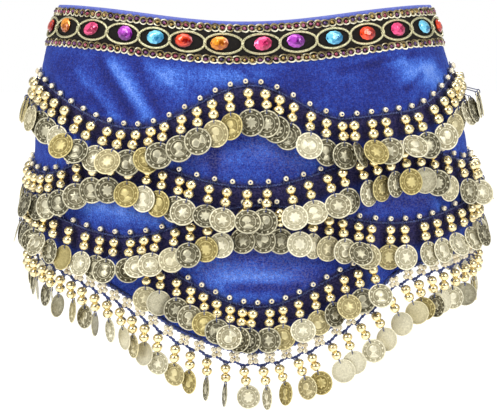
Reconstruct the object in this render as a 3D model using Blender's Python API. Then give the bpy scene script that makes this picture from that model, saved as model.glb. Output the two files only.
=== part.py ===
# Belly dance hip scarf, worn and hollow: a velvet wrap, a gem trim at its top edge,
# four swagged rows of bead and coin dangles, and an open lattice with coins under its hem.
# Metres, +Z up. X is the wearer's left to right as seen, -Y is the near side.
# The origin is the centre of the waistband. A place on the cloth is given by
# turn, from -1 to 1 round the body with 0 at the near centre, and by depth below the top edge.
import math

import bmesh
import bpy
import numpy as np
from mathutils import Vector

# Body of the worn cloth
HIP_HALF_WIDTH = 0.185
HIP_HALF_DEPTH = 0.110
BAND_HEIGHT = 0.036
TOP_AT_SIDES = BAND_HEIGHT / 2
TOP_DIP = 0.0145
WALL = 0.0015
END_TURN = 0.9914
GEMS = 28
COLUMNS_PER_GEM = 3
HEM_FRACTIONS = (0.13, 0.28, 0.44, 0.62, 0.81, 1.0)

# Horizontal sections of the cloth, on the way down
SECTIONS = [
    # depth, centre x, half width, half depth
    (0.000, 0.000, 0.1640, 0.0980),
    (0.035, 0.000, 0.1745, 0.1030),
    (0.070, 0.002, 0.1830, 0.1080),
    (0.120, 0.004, 0.1895, 0.1130),
    (0.180, 0.007, 0.1940, 0.1160),
    (0.240, 0.007, 0.1955, 0.1170),
    (0.330, 0.006, 0.1950, 0.1160),
]

# Depth of the cut hem round the body, deepest at the near centre
HEM = [
    # turn, depth
    (-1.000, 0.1580),
    (-0.750, 0.1780),
    (-0.500, 0.2010),
    (-0.400, 0.2115),
    (-0.254, 0.2320),
    (-0.200, 0.2430),
    (-0.114, 0.2640),
    (0.000, 0.2770),
    (0.092, 0.2680),
    (0.200, 0.2400),
    (0.260, 0.2205),
    (0.400, 0.2115),
    (0.500, 0.2010),
    (0.750, 0.1780),
    (1.000, 0.1580),
]

# Soft diagonal folds: a ridge stands out of the cloth, a trough is pressed in.
# They fade out over this depth below the flat waistband.
FOLD_FADE = 0.010
FOLDS = [
    # start turn, start depth, end turn, end depth, half width, height
    (-0.285, 0.050, -0.226, 0.080, 0.0110, -0.0022),
    (-0.262, 0.048, -0.192, 0.086, 0.0110, 0.0026),
    (-0.420, 0.046, -0.345, 0.070, 0.0120, 0.0020),
    (0.372, 0.044, 0.272, 0.050, 0.0100, -0.0020),
    (0.357, 0.060, 0.287, 0.074, 0.0100, -0.0022),
    (0.366, 0.050, 0.315, 0.066, 0.0110, 0.0024),
    (-0.365, 0.150, -0.362, 0.184, 0.0130, 0.0018),
    (0.199, 0.214, 0.199, 0.242, 0.0120, 0.0020),
    (-0.090, 0.205, -0.040, 0.236, 0.0180, 0.0022),
    (0.470, 0.120, 0.430, 0.175, 0.0180, 0.0024),
    (-0.640, 0.055, -0.560, 0.100, 0.0160, 0.0024),
    (0.610, 0.055, 0.545, 0.096, 0.0160, -0.0022),
    (-0.850, 0.060, -0.800, 0.120, 0.0180, -0.0022),
    (0.860, 0.070, 0.790, 0.128, 0.0180, 0.0024),
]

# Headings of the dangle rows: the turning points of each swag
ROW_1 = [
    # turn, depth
    (-1.000, 0.0520),
    (-0.750, 0.0900),
    (-0.500, 0.0580),
    (-0.220, 0.0935),
    (0.010, 0.0500),
    (0.183, 0.0835),
    (0.290, 0.0840),
    (0.500, 0.0530),
    (0.750, 0.0880),
    (1.000, 0.0520),
]
ROW_2 = [
    # turn, depth
    (-1.000, 0.1220),
    (-0.730, 0.1120),
    (-0.400, 0.1412),
    (-0.245, 0.1180),
    (0.000, 0.1345),
    (0.280, 0.1130),
    (0.440, 0.1310),
    (0.730, 0.1100),
    (1.000, 0.1220),
]
ROW_3 = [
    # turn, depth
    (-0.620, 0.1720),
    (-0.500, 0.1670),
    (-0.245, 0.1860),
    (0.010, 0.1500),
    (0.285, 0.1768),
    (0.500, 0.1620),
    (0.620, 0.1680),
]
ROW_4 = [
    # turn, depth
    (-0.190, 0.2060),
    (0.010, 0.2350),
    (0.205, 0.2060),
]

# One dangle, from its root down: two beads in one bulge, then a flat coin
DANGLE_PITCH = 0.0215
DANGLE = [
    # drop below heading, half width, half thickness, stand off the cloth, share of lift, coin turn
    (0.0122, 0.0037, 0.0037, 0.0049, 0.35, 0.0),
    (0.0212, 0.0020, 0.0007, 0.0050, 0.75, 1.0),
    (0.0278, 0.0107, 0.0006, 0.0056, 1.00, 1.0),
    (0.0374, 0.0107, 0.0006, 0.0056, 1.00, 1.0),
    (0.0438, 0.0047, 0.0006, 0.0056, 1.00, 1.0),
]
HEM_DANGLE_SHARE = 0.86
COIN_TURN = math.radians(8)
LIFT = 0.0072
LIFT_FULL_GAP = 0.030
LIFT_NO_GAP = 0.050
ROW_END_MARGIN = 0.03

# Crochet heading that the dangles hang from
STRIP_RISE = 0.0025
STRIP_FALL = 0.0030
STRIP_THICKNESS = 0.0016
STRIP_SEAT = 0.00045
ROOT_HALF = 0.0021

# Open lattice below the hem
LATTICE_PITCH = 0.0215
RUNG_ROOT_HALF = 0.0020
RUNG_DROP = 0.0055
RUNG_HALF_WIDTH = 0.0045
RUNG_HALF_THICKNESS = 0.0020
RAIL_TOP_DROP = 0.0102
RAIL_BOTTOM_DROP = 0.0124
LATTICE_STRIP_FALL = -0.0010
LATTICE_STRIP_RISE = 0.0045

# Trim on the waistband: depths of its edges and how far each layer stands out
SEAM = 0.00035
RIBBON_TOP = 0.0092
RIBBON_BOTTOM = 0.0288
RIBBON_THICKNESS = 0.0010
BRAIDS = {
    # name: top depth, bottom depth
    "ring_braid_upper": (0.0026, 0.0087),
    "ring_braid_lower": (0.0293, 0.0354),
}
BRAID_THICKNESS = 0.0018
GEM_DEPTH = 0.0190
GEM_HALF_WIDTH = 0.00775
GEM_HALF_HEIGHT = 0.0059
GEM_THICKNESS = 0.0032
GEM_TABLE = 0.62
GEM_SIDES = 8
GEM_LEAN_REACH = 0.005

# Far side closure: a velvet tab inside the gap, with a hook and loop pad
TAB_TOP = 0.0030
TAB_BOTTOM = 0.0340
TAB_LEFT = 0.030
TAB_RIGHT = 0.046
TAB_STATIONS = 10
PAD_TOP = 0.0075
PAD_BOTTOM = 0.0295
PAD_NEAR_GAP = 0.0090
PAD_FAR = 0.0410
PAD_STATIONS = 4
TAB_STEP_START = -0.0045
TAB_STEP_END = 0.0063

# Colour, roughness and metallic value of each material
MATERIALS = {
    "velvet": ((0.020, 0.035, 0.330), 0.75, 0.0),
    "jacquard": ((0.020, 0.018, 0.030), 0.60, 0.0),
    "gold_braid": ((0.640, 0.470, 0.200), 0.35, 0.8),
    "antique_brass": ((0.560, 0.500, 0.340), 0.35, 0.9),
    "hook_and_loop": ((0.015, 0.015, 0.020), 0.85, 0.0),
}
GEM_ROUGHNESS = 0.12
GEM_COLOURS = {
    "pink": (0.750, 0.140, 0.330),
    "purple": (0.220, 0.060, 0.420),
    "light_blue": (0.100, 0.400, 0.700),
    "red": (0.650, 0.020, 0.040),
    "orange": (0.850, 0.260, 0.020),
}

# Colours of the near side's gems from left to right; the far side repeats them
NEAR_GEMS = [
    "red", "orange", "pink", "purple", "light_blue", "red", "orange",
    "pink", "purple", "light_blue", "red", "pink", "light_blue", "red",
]


def monotone(x, xs, ys):
    """Smooth curve through a table's points that never overshoots them."""
    steps = [b - a for a, b in zip(xs, xs[1:])]
    slopes = [(b - a) / h for a, b, h in zip(ys, ys[1:], steps)]
    tangents = [slopes[0]]
    for before, after in zip(slopes, slopes[1:]):
        turning = before * after <= 0
        tangents.append(0.0 if turning else 2 * before * after / (before + after))
    tangents.append(slopes[-1])
    i = min(max(int(np.searchsorted(xs, x)) - 1, 0), len(xs) - 2)
    u = (x - xs[i]) / steps[i]
    rise = (2 * u**3 - 3 * u**2 + 1) * ys[i] + (3 * u**2 - 2 * u**3) * ys[i + 1]
    bend = (u**3 - 2 * u**2 + u) * tangents[i] + (u**3 - u**2) * tangents[i + 1]
    return rise + bend * steps[i]


def column(table, index):
    return [row[index] for row in table]


def swag(table, turn):
    """Depth of a heading: cosine swags between the table's turning points."""
    turn = min(max(turn, table[0][0]), table[-1][0])
    for (turn_a, depth_a), (turn_b, depth_b) in zip(table, table[1:]):
        if turn <= turn_b:
            ease = 0.5 - 0.5 * math.cos(math.pi * (turn - turn_a) / (turn_b - turn_a))
            return depth_a + (depth_b - depth_a) * ease
    return table[-1][1]


def hem_depth(turn):
    return monotone(turn, column(HEM, 0), column(HEM, 1))


def half_girth_table(steps=2000):
    """Arc length of half the hip ellipse against its angle."""
    angles = np.linspace(0.0, math.pi, steps + 1)
    speed = np.hypot(HIP_HALF_WIDTH * np.cos(angles), HIP_HALF_DEPTH * np.sin(angles))
    lengths = np.concatenate([[0.0], np.cumsum((speed[1:] + speed[:-1]) / 2 * np.diff(angles))])
    return angles, lengths


ANGLES, LENGTHS = half_girth_table()
HALF_GIRTH = float(LENGTHS[-1])


def angle_of(turn):
    angle = float(np.interp(abs(turn) * HALF_GIRTH, LENGTHS, ANGLES))
    return math.copysign(angle, turn)


def outward(turn):
    """Level unit vector out of the cloth."""
    angle = angle_of(turn)
    return Vector((HIP_HALF_DEPTH * math.sin(angle), -HIP_HALF_WIDTH * math.cos(angle), 0)).normalized()


def along(turn):
    """Level unit vector along the cloth, the way turn grows."""
    normal = outward(turn)
    return Vector((-normal.y, normal.x, 0))


def fold_height(turn, depth):
    total = 0.0
    here = np.array([turn * HALF_GIRTH, depth])
    for turn_a, depth_a, turn_b, depth_b, half_width, height in FOLDS:
        start = np.array([turn_a * HALF_GIRTH, depth_a])
        run = np.array([turn_b * HALF_GIRTH, depth_b]) - start
        share = min(max(float(np.dot(here - start, run) / np.dot(run, run)), 0.0), 1.0)
        distance = float(np.linalg.norm(here - start - share * run))
        total += height * math.exp(-((distance / half_width) ** 2))
    below_band = min(max((depth - BAND_HEIGHT) / FOLD_FADE, 0.0), 1.0)
    return total * below_band


def cloth_point(turn, depth):
    """Point on the outer face of the smooth cloth."""
    depths = column(SECTIONS, 0)
    centre_x = monotone(depth, depths, column(SECTIONS, 1))
    half_width = monotone(depth, depths, column(SECTIONS, 2))
    half_depth = monotone(depth, depths, column(SECTIONS, 3))
    angle = angle_of(turn)
    top = TOP_AT_SIDES - TOP_DIP * math.cos(angle) ** 4
    base = Vector((centre_x + half_width * math.sin(angle), -half_depth * math.cos(angle), top - depth))
    return base + outward(turn) * fold_height(turn, depth)


def column_turns():
    half = GEMS * COLUMNS_PER_GEM // 2
    inner = [i / half for i in range(1 - half, half)]
    return [-END_TURN] + inner + [END_TURN]


def column_depths(turn):
    hem = hem_depth(turn)
    return [0.0, BAND_HEIGHT] + [BAND_HEIGHT + share * (hem - BAND_HEIGHT) for share in HEM_FRACTIONS]


TURNS = column_turns()
GRID = [[cloth_point(turn, depth) for depth in column_depths(turn)] for turn in TURNS]


def column_at(turn):
    """The cloth's facets cut along one turn: its points from the top edge to the hem."""
    if abs(turn) > END_TURN:
        gap = 2 * (1 - END_TURN)
        past = (turn - END_TURN) if turn > 0 else (turn + 2 - END_TURN)
        first, second, share = GRID[-1], GRID[0], past / gap
    else:
        i = min(max(int(np.searchsorted(TURNS, turn)) - 1, 0), len(TURNS) - 2)
        share = (turn - TURNS[i]) / (TURNS[i + 1] - TURNS[i])
        first, second = GRID[i], GRID[i + 1]
    return [a.lerp(b, share) for a, b in zip(first, second)]


def panel_point(turn, depth, out):
    """Point at a stated distance out of the cloth's facets, hanging straight below the hem."""
    points = column_at(turn)
    level = points[0].z - depth
    if level <= points[-1].z:
        spot = Vector((points[-1].x, points[-1].y, level))
    else:
        k = next(k for k in range(len(points) - 1) if level >= points[k + 1].z)
        share = (points[k].z - level) / (points[k].z - points[k + 1].z)
        spot = points[k].lerp(points[k + 1], share)
    return spot + outward(turn) * out


def far_turn(distance):
    """Turn of a place on the far side, from its distance to the far centre, + to the right."""
    share = distance / HALF_GIRTH
    return 1 - share if distance > 0 else -1 - share


def material(name, colour, roughness, metallic):
    made = bpy.data.materials.new(name)
    made.use_nodes = True
    shader = made.node_tree.nodes["Principled BSDF"]
    shader.inputs["Base Color"].default_value = (*colour, 1.0)
    shader.inputs["Roughness"].default_value = roughness
    shader.inputs["Metallic"].default_value = metallic
    return made


def add_object(name, points, faces, finish):
    """One closed solid with its faces turned outward."""
    mesh = bpy.data.meshes.new(name)
    mesh.from_pydata([tuple(point) for point in points], [], faces)
    shape = bmesh.new()
    shape.from_mesh(mesh)
    bmesh.ops.recalc_face_normals(shape, faces=shape.faces)
    bmesh.ops.triangulate(shape, faces=shape.faces)
    shape.to_mesh(mesh)
    shape.free()
    mesh.materials.append(finish)
    made = bpy.data.objects.new(name, mesh)
    bpy.context.scene.collection.objects.link(made)
    return made


def tube_faces(first, second):
    """Side faces between two rings of point numbers."""
    count = len(first)
    return [(first[i], first[(i + 1) % count], second[(i + 1) % count], second[i]) for i in range(count)]


def add_strip(name, rings, finish):
    """A solid swept through rings of points and capped at both ends."""
    size = len(rings[0])
    points = [point for ring in rings for point in ring]
    numbers = [list(range(i * size, (i + 1) * size)) for i in range(len(rings))]
    faces = [tuple(numbers[0]), tuple(numbers[-1])]
    for first, second in zip(numbers, numbers[1:]):
        faces += tube_faces(first, second)
    return add_object(name, points, faces, finish)


def velvet_panel(finish):
    """The wrap: an outer and an inner face joined at the top, the hem and both ends."""
    rings = []
    for turn, outer in zip(TURNS, GRID):
        inner = [point - outward(turn) * WALL for point in outer]
        rings.append(outer + inner[::-1])
    return add_strip("cloth_panel", rings, finish)


def band_strip(name, top, bottom, thickness, ridge, finish):
    """Flat ribbon, or half round braid, on the waistband along the cloth's own columns."""
    rings = []
    for turn in TURNS:
        inner_top = panel_point(turn, top, SEAM)
        inner_bottom = panel_point(turn, bottom, SEAM)
        if ridge:
            outer = [panel_point(turn, (top + bottom) / 2, SEAM + thickness)]
        else:
            outer = [panel_point(turn, bottom, SEAM + thickness), panel_point(turn, top, SEAM + thickness)]
        rings.append([inner_top, inner_bottom] + outer)
    return add_strip(name, rings, finish)


def gem(number, finish):
    """Oval faceted stone: a wide base and a smaller table."""
    turn = (number - GEMS / 2 + 0.5) * 2 / GEMS
    base = 2 * SEAM + RIBBON_THICKNESS
    above = panel_point(turn, GEM_DEPTH - GEM_LEAN_REACH, 0)
    under = panel_point(turn, GEM_DEPTH + GEM_LEAN_REACH, 0)
    up = (above - under).normalized()
    side = along(turn)
    out = side.cross(up)
    centre = panel_point(turn, GEM_DEPTH, 0)
    rings = []
    for scale, height in ((1.0, base), (GEM_TABLE, base + GEM_THICKNESS)):
        ring = []
        for i in range(GEM_SIDES):
            angle = (i + 0.5) * 2 * math.pi / GEM_SIDES
            across = side * (GEM_HALF_WIDTH * scale * math.cos(angle))
            rise = up * (GEM_HALF_HEIGHT * scale * math.sin(angle))
            ring.append(centre + across + rise + out * height)
        rings.append(ring)
    return add_strip(f"gem_{number + 1:02d}", rings, finish)


def bulge_between(turn_a, turn_b, depth_of, samples=6):
    """How far the cloth stands out of a straight run between two turns."""
    start = panel_point(turn_a, depth_of(turn_a), 0)
    end = panel_point(turn_b, depth_of(turn_b), 0)
    most = 0.0
    for i in range(1, samples):
        share = i / samples
        turn = turn_a + (turn_b - turn_a) * share
        spot = panel_point(turn, depth_of(turn), 0)
        most = max(most, (spot - start.lerp(end, share)).dot(outward(turn)))
    return most


def seat_offsets(turns, depth_of, rise, fall):
    """Offset of a strip at each station, so that its straight runs clear the cloth."""
    runs = []
    for turn_a, turn_b in zip(turns, turns[1:]):
        edges = (-rise, 0.0, fall)
        runs.append(max(bulge_between(turn_a, turn_b, lambda t: depth_of(t) + edge) for edge in edges))
    first = [runs[0]] + runs
    second = runs + [runs[-1]]
    return [STRIP_SEAT + max(a, b) for a, b in zip(first, second)]


def dangle_turns(start, end, pitch):
    """Evenly spaced dangle centres that fill a row between two turns."""
    count = round((end - start) * HALF_GIRTH / pitch)
    return [start + (end - start) * (i + 0.5) / count for i in range(count)]


def lift_at(turn, heading, below):
    """Extra stand off where the next row's heading lies close under this one."""
    gap = below(turn) - heading(turn)
    share = (LIFT_NO_GAP - gap) / (LIFT_NO_GAP - LIFT_FULL_GAP)
    return LIFT * min(max(share, 0.0), 1.0)


class Shape:
    """Points and faces gathered for one solid."""

    def __init__(self):
        self.points = []
        self.faces = []

    def ring(self, points):
        first = len(self.points)
        self.points += points
        return list(range(first, first + len(points)))

    def tube(self, rings):
        for first, second in zip(rings, rings[1:]):
            self.faces += tube_faces(first, second)


def cross_section(centre, side, out, half_width, half_thickness):
    """Four corners in the order of a root: near and far end inside, far and near end outside."""
    across = side * half_width
    thick = out * half_thickness
    near, far = centre - across, centre + across
    return [near - thick, far - thick, far + thick, near + thick]


def hang_dangle(shape, root, turn, depth, lift, size=1.0):
    """Bead bulge, neck and coin hung from a root quad."""
    rings = [root]
    side = along(turn)
    out = outward(turn)
    for drop, half_width, half_thickness, stand, share, turned in DANGLE:
        swing = COIN_TURN * turned
        turned_side = side * math.cos(swing) + out * math.sin(swing)
        turned_out = out * math.cos(swing) - side * math.sin(swing)
        centre = panel_point(turn, depth + drop * size, stand + share * lift)
        section = cross_section(centre, turned_side, turned_out, half_width * size, half_thickness)
        rings.append(shape.ring(section))
    shape.tube(rings)
    shape.faces.append(tuple(rings[-1]))


def heading_rings(shape, turns, heading, rise, fall):
    """Wedge shaped crochet strip: top line, inner line and outer line."""
    offsets = seat_offsets(turns, heading, rise, fall)
    rings = []
    for turn, offset in zip(turns, offsets):
        top = panel_point(turn, heading(turn) - rise, offset)
        inner = panel_point(turn, heading(turn) + fall, offset)
        outer = panel_point(turn, heading(turn) + fall, offset + STRIP_THICKNESS)
        rings.append(shape.ring([top, inner, outer]))
    return rings


def strip_faces(shape, rings, root_first):
    """Faces of a wedge strip; every second run leaves its underside open for a root."""
    roots = []
    for i, ((top_a, inner_a, outer_a), (top_b, inner_b, outer_b)) in enumerate(zip(rings, rings[1:])):
        shape.faces.append((top_a, inner_a, inner_b, top_b))
        shape.faces.append((top_a, top_b, outer_b, outer_a))
        if (i % 2 == 0) == root_first:
            roots.append([inner_a, inner_b, outer_b, outer_a])
        else:
            shape.faces.append((inner_a, outer_a, outer_b, inner_b))
    shape.faces.append(tuple(rings[0]))
    shape.faces.append(tuple(rings[-1]))
    return roots


def paired(turns, half):
    """Two stations for each centre, half a root to either side."""
    share = half / HALF_GIRTH
    return [station for turn in turns for station in (turn - share, turn + share)]


def coin_row(name, table, below, finish):
    """One swagged row: a crochet heading strip with its dangles fused to it."""
    shape = Shape()
    start = max(table[0][0], -END_TURN)
    end = min(table[-1][0], END_TURN)
    centres = dangle_turns(start, end, DANGLE_PITCH)

    def heading(turn):
        return swag(table, turn)

    rings = heading_rings(shape, paired(centres, ROOT_HALF), heading, STRIP_RISE, STRIP_FALL)
    roots = strip_faces(shape, rings, root_first=True)
    for turn, root in zip(centres, roots):
        hang_dangle(shape, root, turn, heading(turn), lift_at(turn, heading, below))
    return add_object(name, shape.points, shape.faces, finish)


def hem_lattice(name, finish):
    """Bead clusters as rungs between the hem and a lower thread, which carries the last dangles."""
    shape = Shape()
    centres = dangle_turns(-END_TURN, END_TURN, LATTICE_PITCH)
    half_pitch = (centres[1] - centres[0]) / 2
    inset = 2 * ROOT_HALF / HALF_GIRTH
    rungs = [centres[0] - half_pitch + inset] + [turn + half_pitch for turn in centres]
    rungs[-1] -= inset

    top_rings = heading_rings(
        shape, paired(rungs, RUNG_ROOT_HALF), hem_depth, LATTICE_STRIP_RISE, LATTICE_STRIP_FALL
    )
    rung_roots = strip_faces(shape, top_rings, root_first=True)

    stations = sorted(paired(rungs, RUNG_ROOT_HALF) + paired(centres, ROOT_HALF))
    rail = []
    for turn in stations:
        depth = hem_depth(turn)
        corners = [
            panel_point(turn, depth + RAIL_TOP_DROP, STRIP_SEAT),
            panel_point(turn, depth + RAIL_BOTTOM_DROP, STRIP_SEAT),
            panel_point(turn, depth + RAIL_BOTTOM_DROP, STRIP_SEAT + STRIP_THICKNESS),
            panel_point(turn, depth + RAIL_TOP_DROP, STRIP_SEAT + STRIP_THICKNESS),
        ]
        rail.append(shape.ring(corners))
    rung_ends = []
    dangle_roots = []
    for i, (first, second) in enumerate(zip(rail, rail[1:])):
        shape.faces.append((first[0], second[0], second[1], first[1]))
        shape.faces.append((first[3], first[2], second[2], second[3]))
        under_rung = i % 4 == 0
        over_dangle = i % 4 == 2
        if under_rung:
            rung_ends.append([first[0], second[0], second[3], first[3]])
        else:
            shape.faces.append((first[0], first[3], second[3], second[0]))
        if over_dangle:
            dangle_roots.append([first[1], second[1], second[2], first[2]])
        else:
            shape.faces.append((first[1], second[1], second[2], first[2]))
    shape.faces.append(tuple(rail[0]))
    shape.faces.append(tuple(rail[-1]))

    for turn, root, end in zip(rungs, rung_roots, rung_ends):
        centre = panel_point(turn, hem_depth(turn) + RUNG_DROP, STRIP_SEAT + RUNG_HALF_THICKNESS)
        middle = cross_section(centre, along(turn), outward(turn), RUNG_HALF_WIDTH, RUNG_HALF_THICKNESS)
        shape.tube([root, shape.ring(middle), end])
    for turn, root in zip(centres, dangle_roots):
        hang_dangle(shape, root, turn, hem_depth(turn) + RAIL_BOTTOM_DROP, 0.0, HEM_DANGLE_SHARE)
    return add_object(name, shape.points, shape.faces, finish)


def level_strip(name, distances, top, bottom, offset_of, finish):
    """Flat strip inside the far side, from its offsets into the cloth."""
    rings = []
    for distance in distances:
        turn = far_turn(distance)
        near = offset_of(distance)
        ring = [panel_point(turn, depth, -near) for depth in (top, bottom)]
        ring += [panel_point(turn, depth, -near - WALL) for depth in (bottom, top)]
        rings.append(ring)
    return add_strip(name, rings, finish)


def closure(velvet, hook_and_loop):
    """Tab sewn inside the left end, and the pad that the right end presses on to it."""
    inner_face = WALL + SEAM
    past_pad = inner_face + WALL + SEAM

    def tab_offset(distance):
        share = (distance - TAB_STEP_START) / (TAB_STEP_END - TAB_STEP_START)
        return inner_face + (past_pad - inner_face) * min(max(share, 0.0), 1.0)

    tab_distances = [float(v) for v in np.linspace(-TAB_LEFT, TAB_RIGHT, TAB_STATIONS + 1)]
    pad_distances = [float(v) for v in np.linspace(PAD_NEAR_GAP, PAD_FAR, PAD_STATIONS + 1)]
    level_strip("closure_tab", tab_distances, TAB_TOP, TAB_BOTTOM, tab_offset, velvet)
    level_strip("hook_and_loop_pad", pad_distances, PAD_TOP, PAD_BOTTOM, lambda d: inner_face, hook_and_loop)


def build():
    for thing in list(bpy.data.objects):
        bpy.data.objects.remove(thing, do_unlink=True)
    made = {name: material(name, *values) for name, values in MATERIALS.items()}
    stones = {name: material(f"gem_{name}", rgb, GEM_ROUGHNESS, 0.0) for name, rgb in GEM_COLOURS.items()}

    velvet_panel(made["velvet"])
    closure(made["velvet"], made["hook_and_loop"])
    band_strip("gem_trim_ribbon", RIBBON_TOP, RIBBON_BOTTOM, RIBBON_THICKNESS, False, made["jacquard"])
    for name, (top, bottom) in BRAIDS.items():
        band_strip(name, top, bottom, BRAID_THICKNESS, True, made["gold_braid"])
    first_near = GEMS // 4
    for number in range(GEMS):
        gem(number, stones[NEAR_GEMS[(number - first_near) % len(NEAR_GEMS)]])

    def row_2(turn):
        return swag(ROW_2, turn)

    def under_row_2(turn):
        inside = ROW_3[0][0] - ROW_END_MARGIN <= turn <= ROW_3[-1][0] + ROW_END_MARGIN
        return swag(ROW_3, turn) if inside else hem_depth(turn)

    def under_row_3(turn):
        inside = ROW_4[0][0] - ROW_END_MARGIN <= turn <= ROW_4[-1][0] + ROW_END_MARGIN
        return swag(ROW_4, turn) if inside else hem_depth(turn)

    coin_row("coin_row_1", ROW_1, row_2, made["antique_brass"])
    coin_row("coin_row_2", ROW_2, under_row_2, made["antique_brass"])
    coin_row("coin_row_3", ROW_3, under_row_3, made["antique_brass"])
    coin_row("coin_row_4", ROW_4, hem_depth, made["antique_brass"])
    hem_lattice("hem_lattice_fringe", made["antique_brass"])


build()
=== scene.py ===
# Looks of the belly dance hip scarf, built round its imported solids.
# Metres, +Z up, -Y the near side. A place on the cloth is a turn, from -1 to 1 round the body
# with 0 at the near centre, a depth below the top edge, and a distance out of the cloth.
import math
import random

import bpy
import numpy as np
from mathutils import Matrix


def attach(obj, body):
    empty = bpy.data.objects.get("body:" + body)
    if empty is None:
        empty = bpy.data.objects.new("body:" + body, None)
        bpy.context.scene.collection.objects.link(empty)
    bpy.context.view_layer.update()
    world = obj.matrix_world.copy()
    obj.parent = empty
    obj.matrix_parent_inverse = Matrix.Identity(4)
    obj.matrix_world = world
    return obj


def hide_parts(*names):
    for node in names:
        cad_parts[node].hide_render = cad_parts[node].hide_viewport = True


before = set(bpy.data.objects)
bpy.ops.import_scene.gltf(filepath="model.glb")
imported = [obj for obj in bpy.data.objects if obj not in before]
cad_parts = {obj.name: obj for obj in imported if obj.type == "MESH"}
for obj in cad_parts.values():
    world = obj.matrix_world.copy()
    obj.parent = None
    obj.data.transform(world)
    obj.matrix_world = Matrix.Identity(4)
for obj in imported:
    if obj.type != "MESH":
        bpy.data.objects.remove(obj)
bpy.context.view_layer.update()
BODY = "root"

# Photograph and camera
PHOTO_WIDTH = 497
SENSOR = 36.0
FOCAL_PIXELS = 2260
CAMERA_PLACE = (0.0031, -2.0, 0.003)
CAMERA_DOWN = math.radians(4.73)

# Body of the worn cloth, as in the solids
HIP_HALF_WIDTH = 0.185
HIP_HALF_DEPTH = 0.110
BAND_HEIGHT = 0.036
TOP_AT_SIDES = BAND_HEIGHT / 2
TOP_DIP = 0.0145
WALL = 0.0015
END_TURN = 0.9914
GEMS = 28
SECTIONS = [
    # depth, centre x, half width, half depth
    (0.000, 0.000, 0.1640, 0.0980),
    (0.035, 0.000, 0.1745, 0.1030),
    (0.070, 0.002, 0.1830, 0.1080),
    (0.120, 0.004, 0.1895, 0.1130),
    (0.180, 0.007, 0.1940, 0.1160),
    (0.240, 0.007, 0.1955, 0.1170),
    (0.330, 0.006, 0.1950, 0.1160),
]
HEM = [
    # turn, depth
    (-1.000, 0.1580),
    (-0.750, 0.1780),
    (-0.500, 0.2010),
    (-0.400, 0.2115),
    (-0.254, 0.2320),
    (-0.200, 0.2430),
    (-0.114, 0.2640),
    (0.000, 0.2770),
    (0.092, 0.2680),
    (0.200, 0.2400),
    (0.260, 0.2205),
    (0.400, 0.2115),
    (0.500, 0.2010),
    (0.750, 0.1780),
    (1.000, 0.1580),
]
FOLD_FADE = 0.010
FOLDS = [
    # start turn, start depth, end turn, end depth, half width, height
    (-0.285, 0.050, -0.226, 0.080, 0.0110, -0.0022),
    (-0.262, 0.048, -0.192, 0.086, 0.0110, 0.0026),
    (-0.420, 0.046, -0.345, 0.070, 0.0120, 0.0020),
    (0.372, 0.044, 0.272, 0.050, 0.0100, -0.0020),
    (0.357, 0.060, 0.287, 0.074, 0.0100, -0.0022),
    (0.366, 0.050, 0.315, 0.066, 0.0110, 0.0024),
    (-0.365, 0.150, -0.362, 0.184, 0.0130, 0.0018),
    (0.199, 0.214, 0.199, 0.242, 0.0120, 0.0020),
    (-0.090, 0.205, -0.040, 0.236, 0.0180, 0.0022),
    (0.470, 0.120, 0.430, 0.175, 0.0180, 0.0024),
    (-0.640, 0.055, -0.560, 0.100, 0.0160, 0.0024),
    (0.610, 0.055, 0.545, 0.096, 0.0160, -0.0022),
    (-0.850, 0.060, -0.800, 0.120, 0.0180, -0.0022),
    (0.860, 0.070, 0.790, 0.128, 0.0180, 0.0024),
]

# Small creases that only show close up
CREASES = [
    # start turn, start depth, end turn, end depth, half width, height
    (-0.292, 0.040, -0.215, 0.084, 0.0048, -0.0012),
    (-0.260, 0.041, -0.178, 0.083, 0.0050, 0.0011),
    (-0.208, 0.044, -0.162, 0.082, 0.0045, -0.0010),
    (-0.190, 0.038, -0.140, 0.054, 0.0045, 0.0009),
    (-0.326, 0.056, -0.247, 0.089, 0.0050, 0.0010),
    (-0.297, 0.075, -0.267, 0.086, 0.0040, -0.0010),
    (-0.016, 0.037, 0.012, 0.045, 0.0030, -0.0010),
    (0.182, 0.046, 0.350, 0.040, 0.0035, -0.0011),
    (0.272, 0.046, 0.322, 0.043, 0.0025, 0.0008),
    (0.308, 0.069, 0.352, 0.058, 0.0035, -0.0011),
    (0.325, 0.062, 0.392, 0.050, 0.0060, 0.0011),
    (-0.062, 0.104, -0.062, 0.128, 0.0040, -0.0009),
    (0.022, 0.104, 0.080, 0.122, 0.0050, 0.0008),
    (-0.300, 0.168, -0.220, 0.164, 0.0050, 0.0008),
    (0.240, 0.160, 0.330, 0.168, 0.0050, -0.0008),
    (-0.040, 0.222, 0.075, 0.223, 0.0040, -0.0011),
    (-0.035, 0.213, 0.052, 0.216, 0.0050, 0.0009),
    (-0.560, 0.060, -0.520, 0.084, 0.0045, -0.0009),
    (0.560, 0.070, 0.530, 0.100, 0.0045, 0.0009),
    (-0.720, 0.050, -0.660, 0.086, 0.0050, 0.0010),
    (0.740, 0.052, 0.690, 0.084, 0.0050, -0.0010),
    (-0.920, 0.044, -0.880, 0.080, 0.0045, 0.0009),
    (0.930, 0.046, 0.900, 0.074, 0.0045, -0.0009),
    (-0.700, 0.130, -0.690, 0.160, 0.0050, 0.0008),
    (0.700, 0.130, 0.690, 0.160, 0.0050, 0.0008),
]

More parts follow.
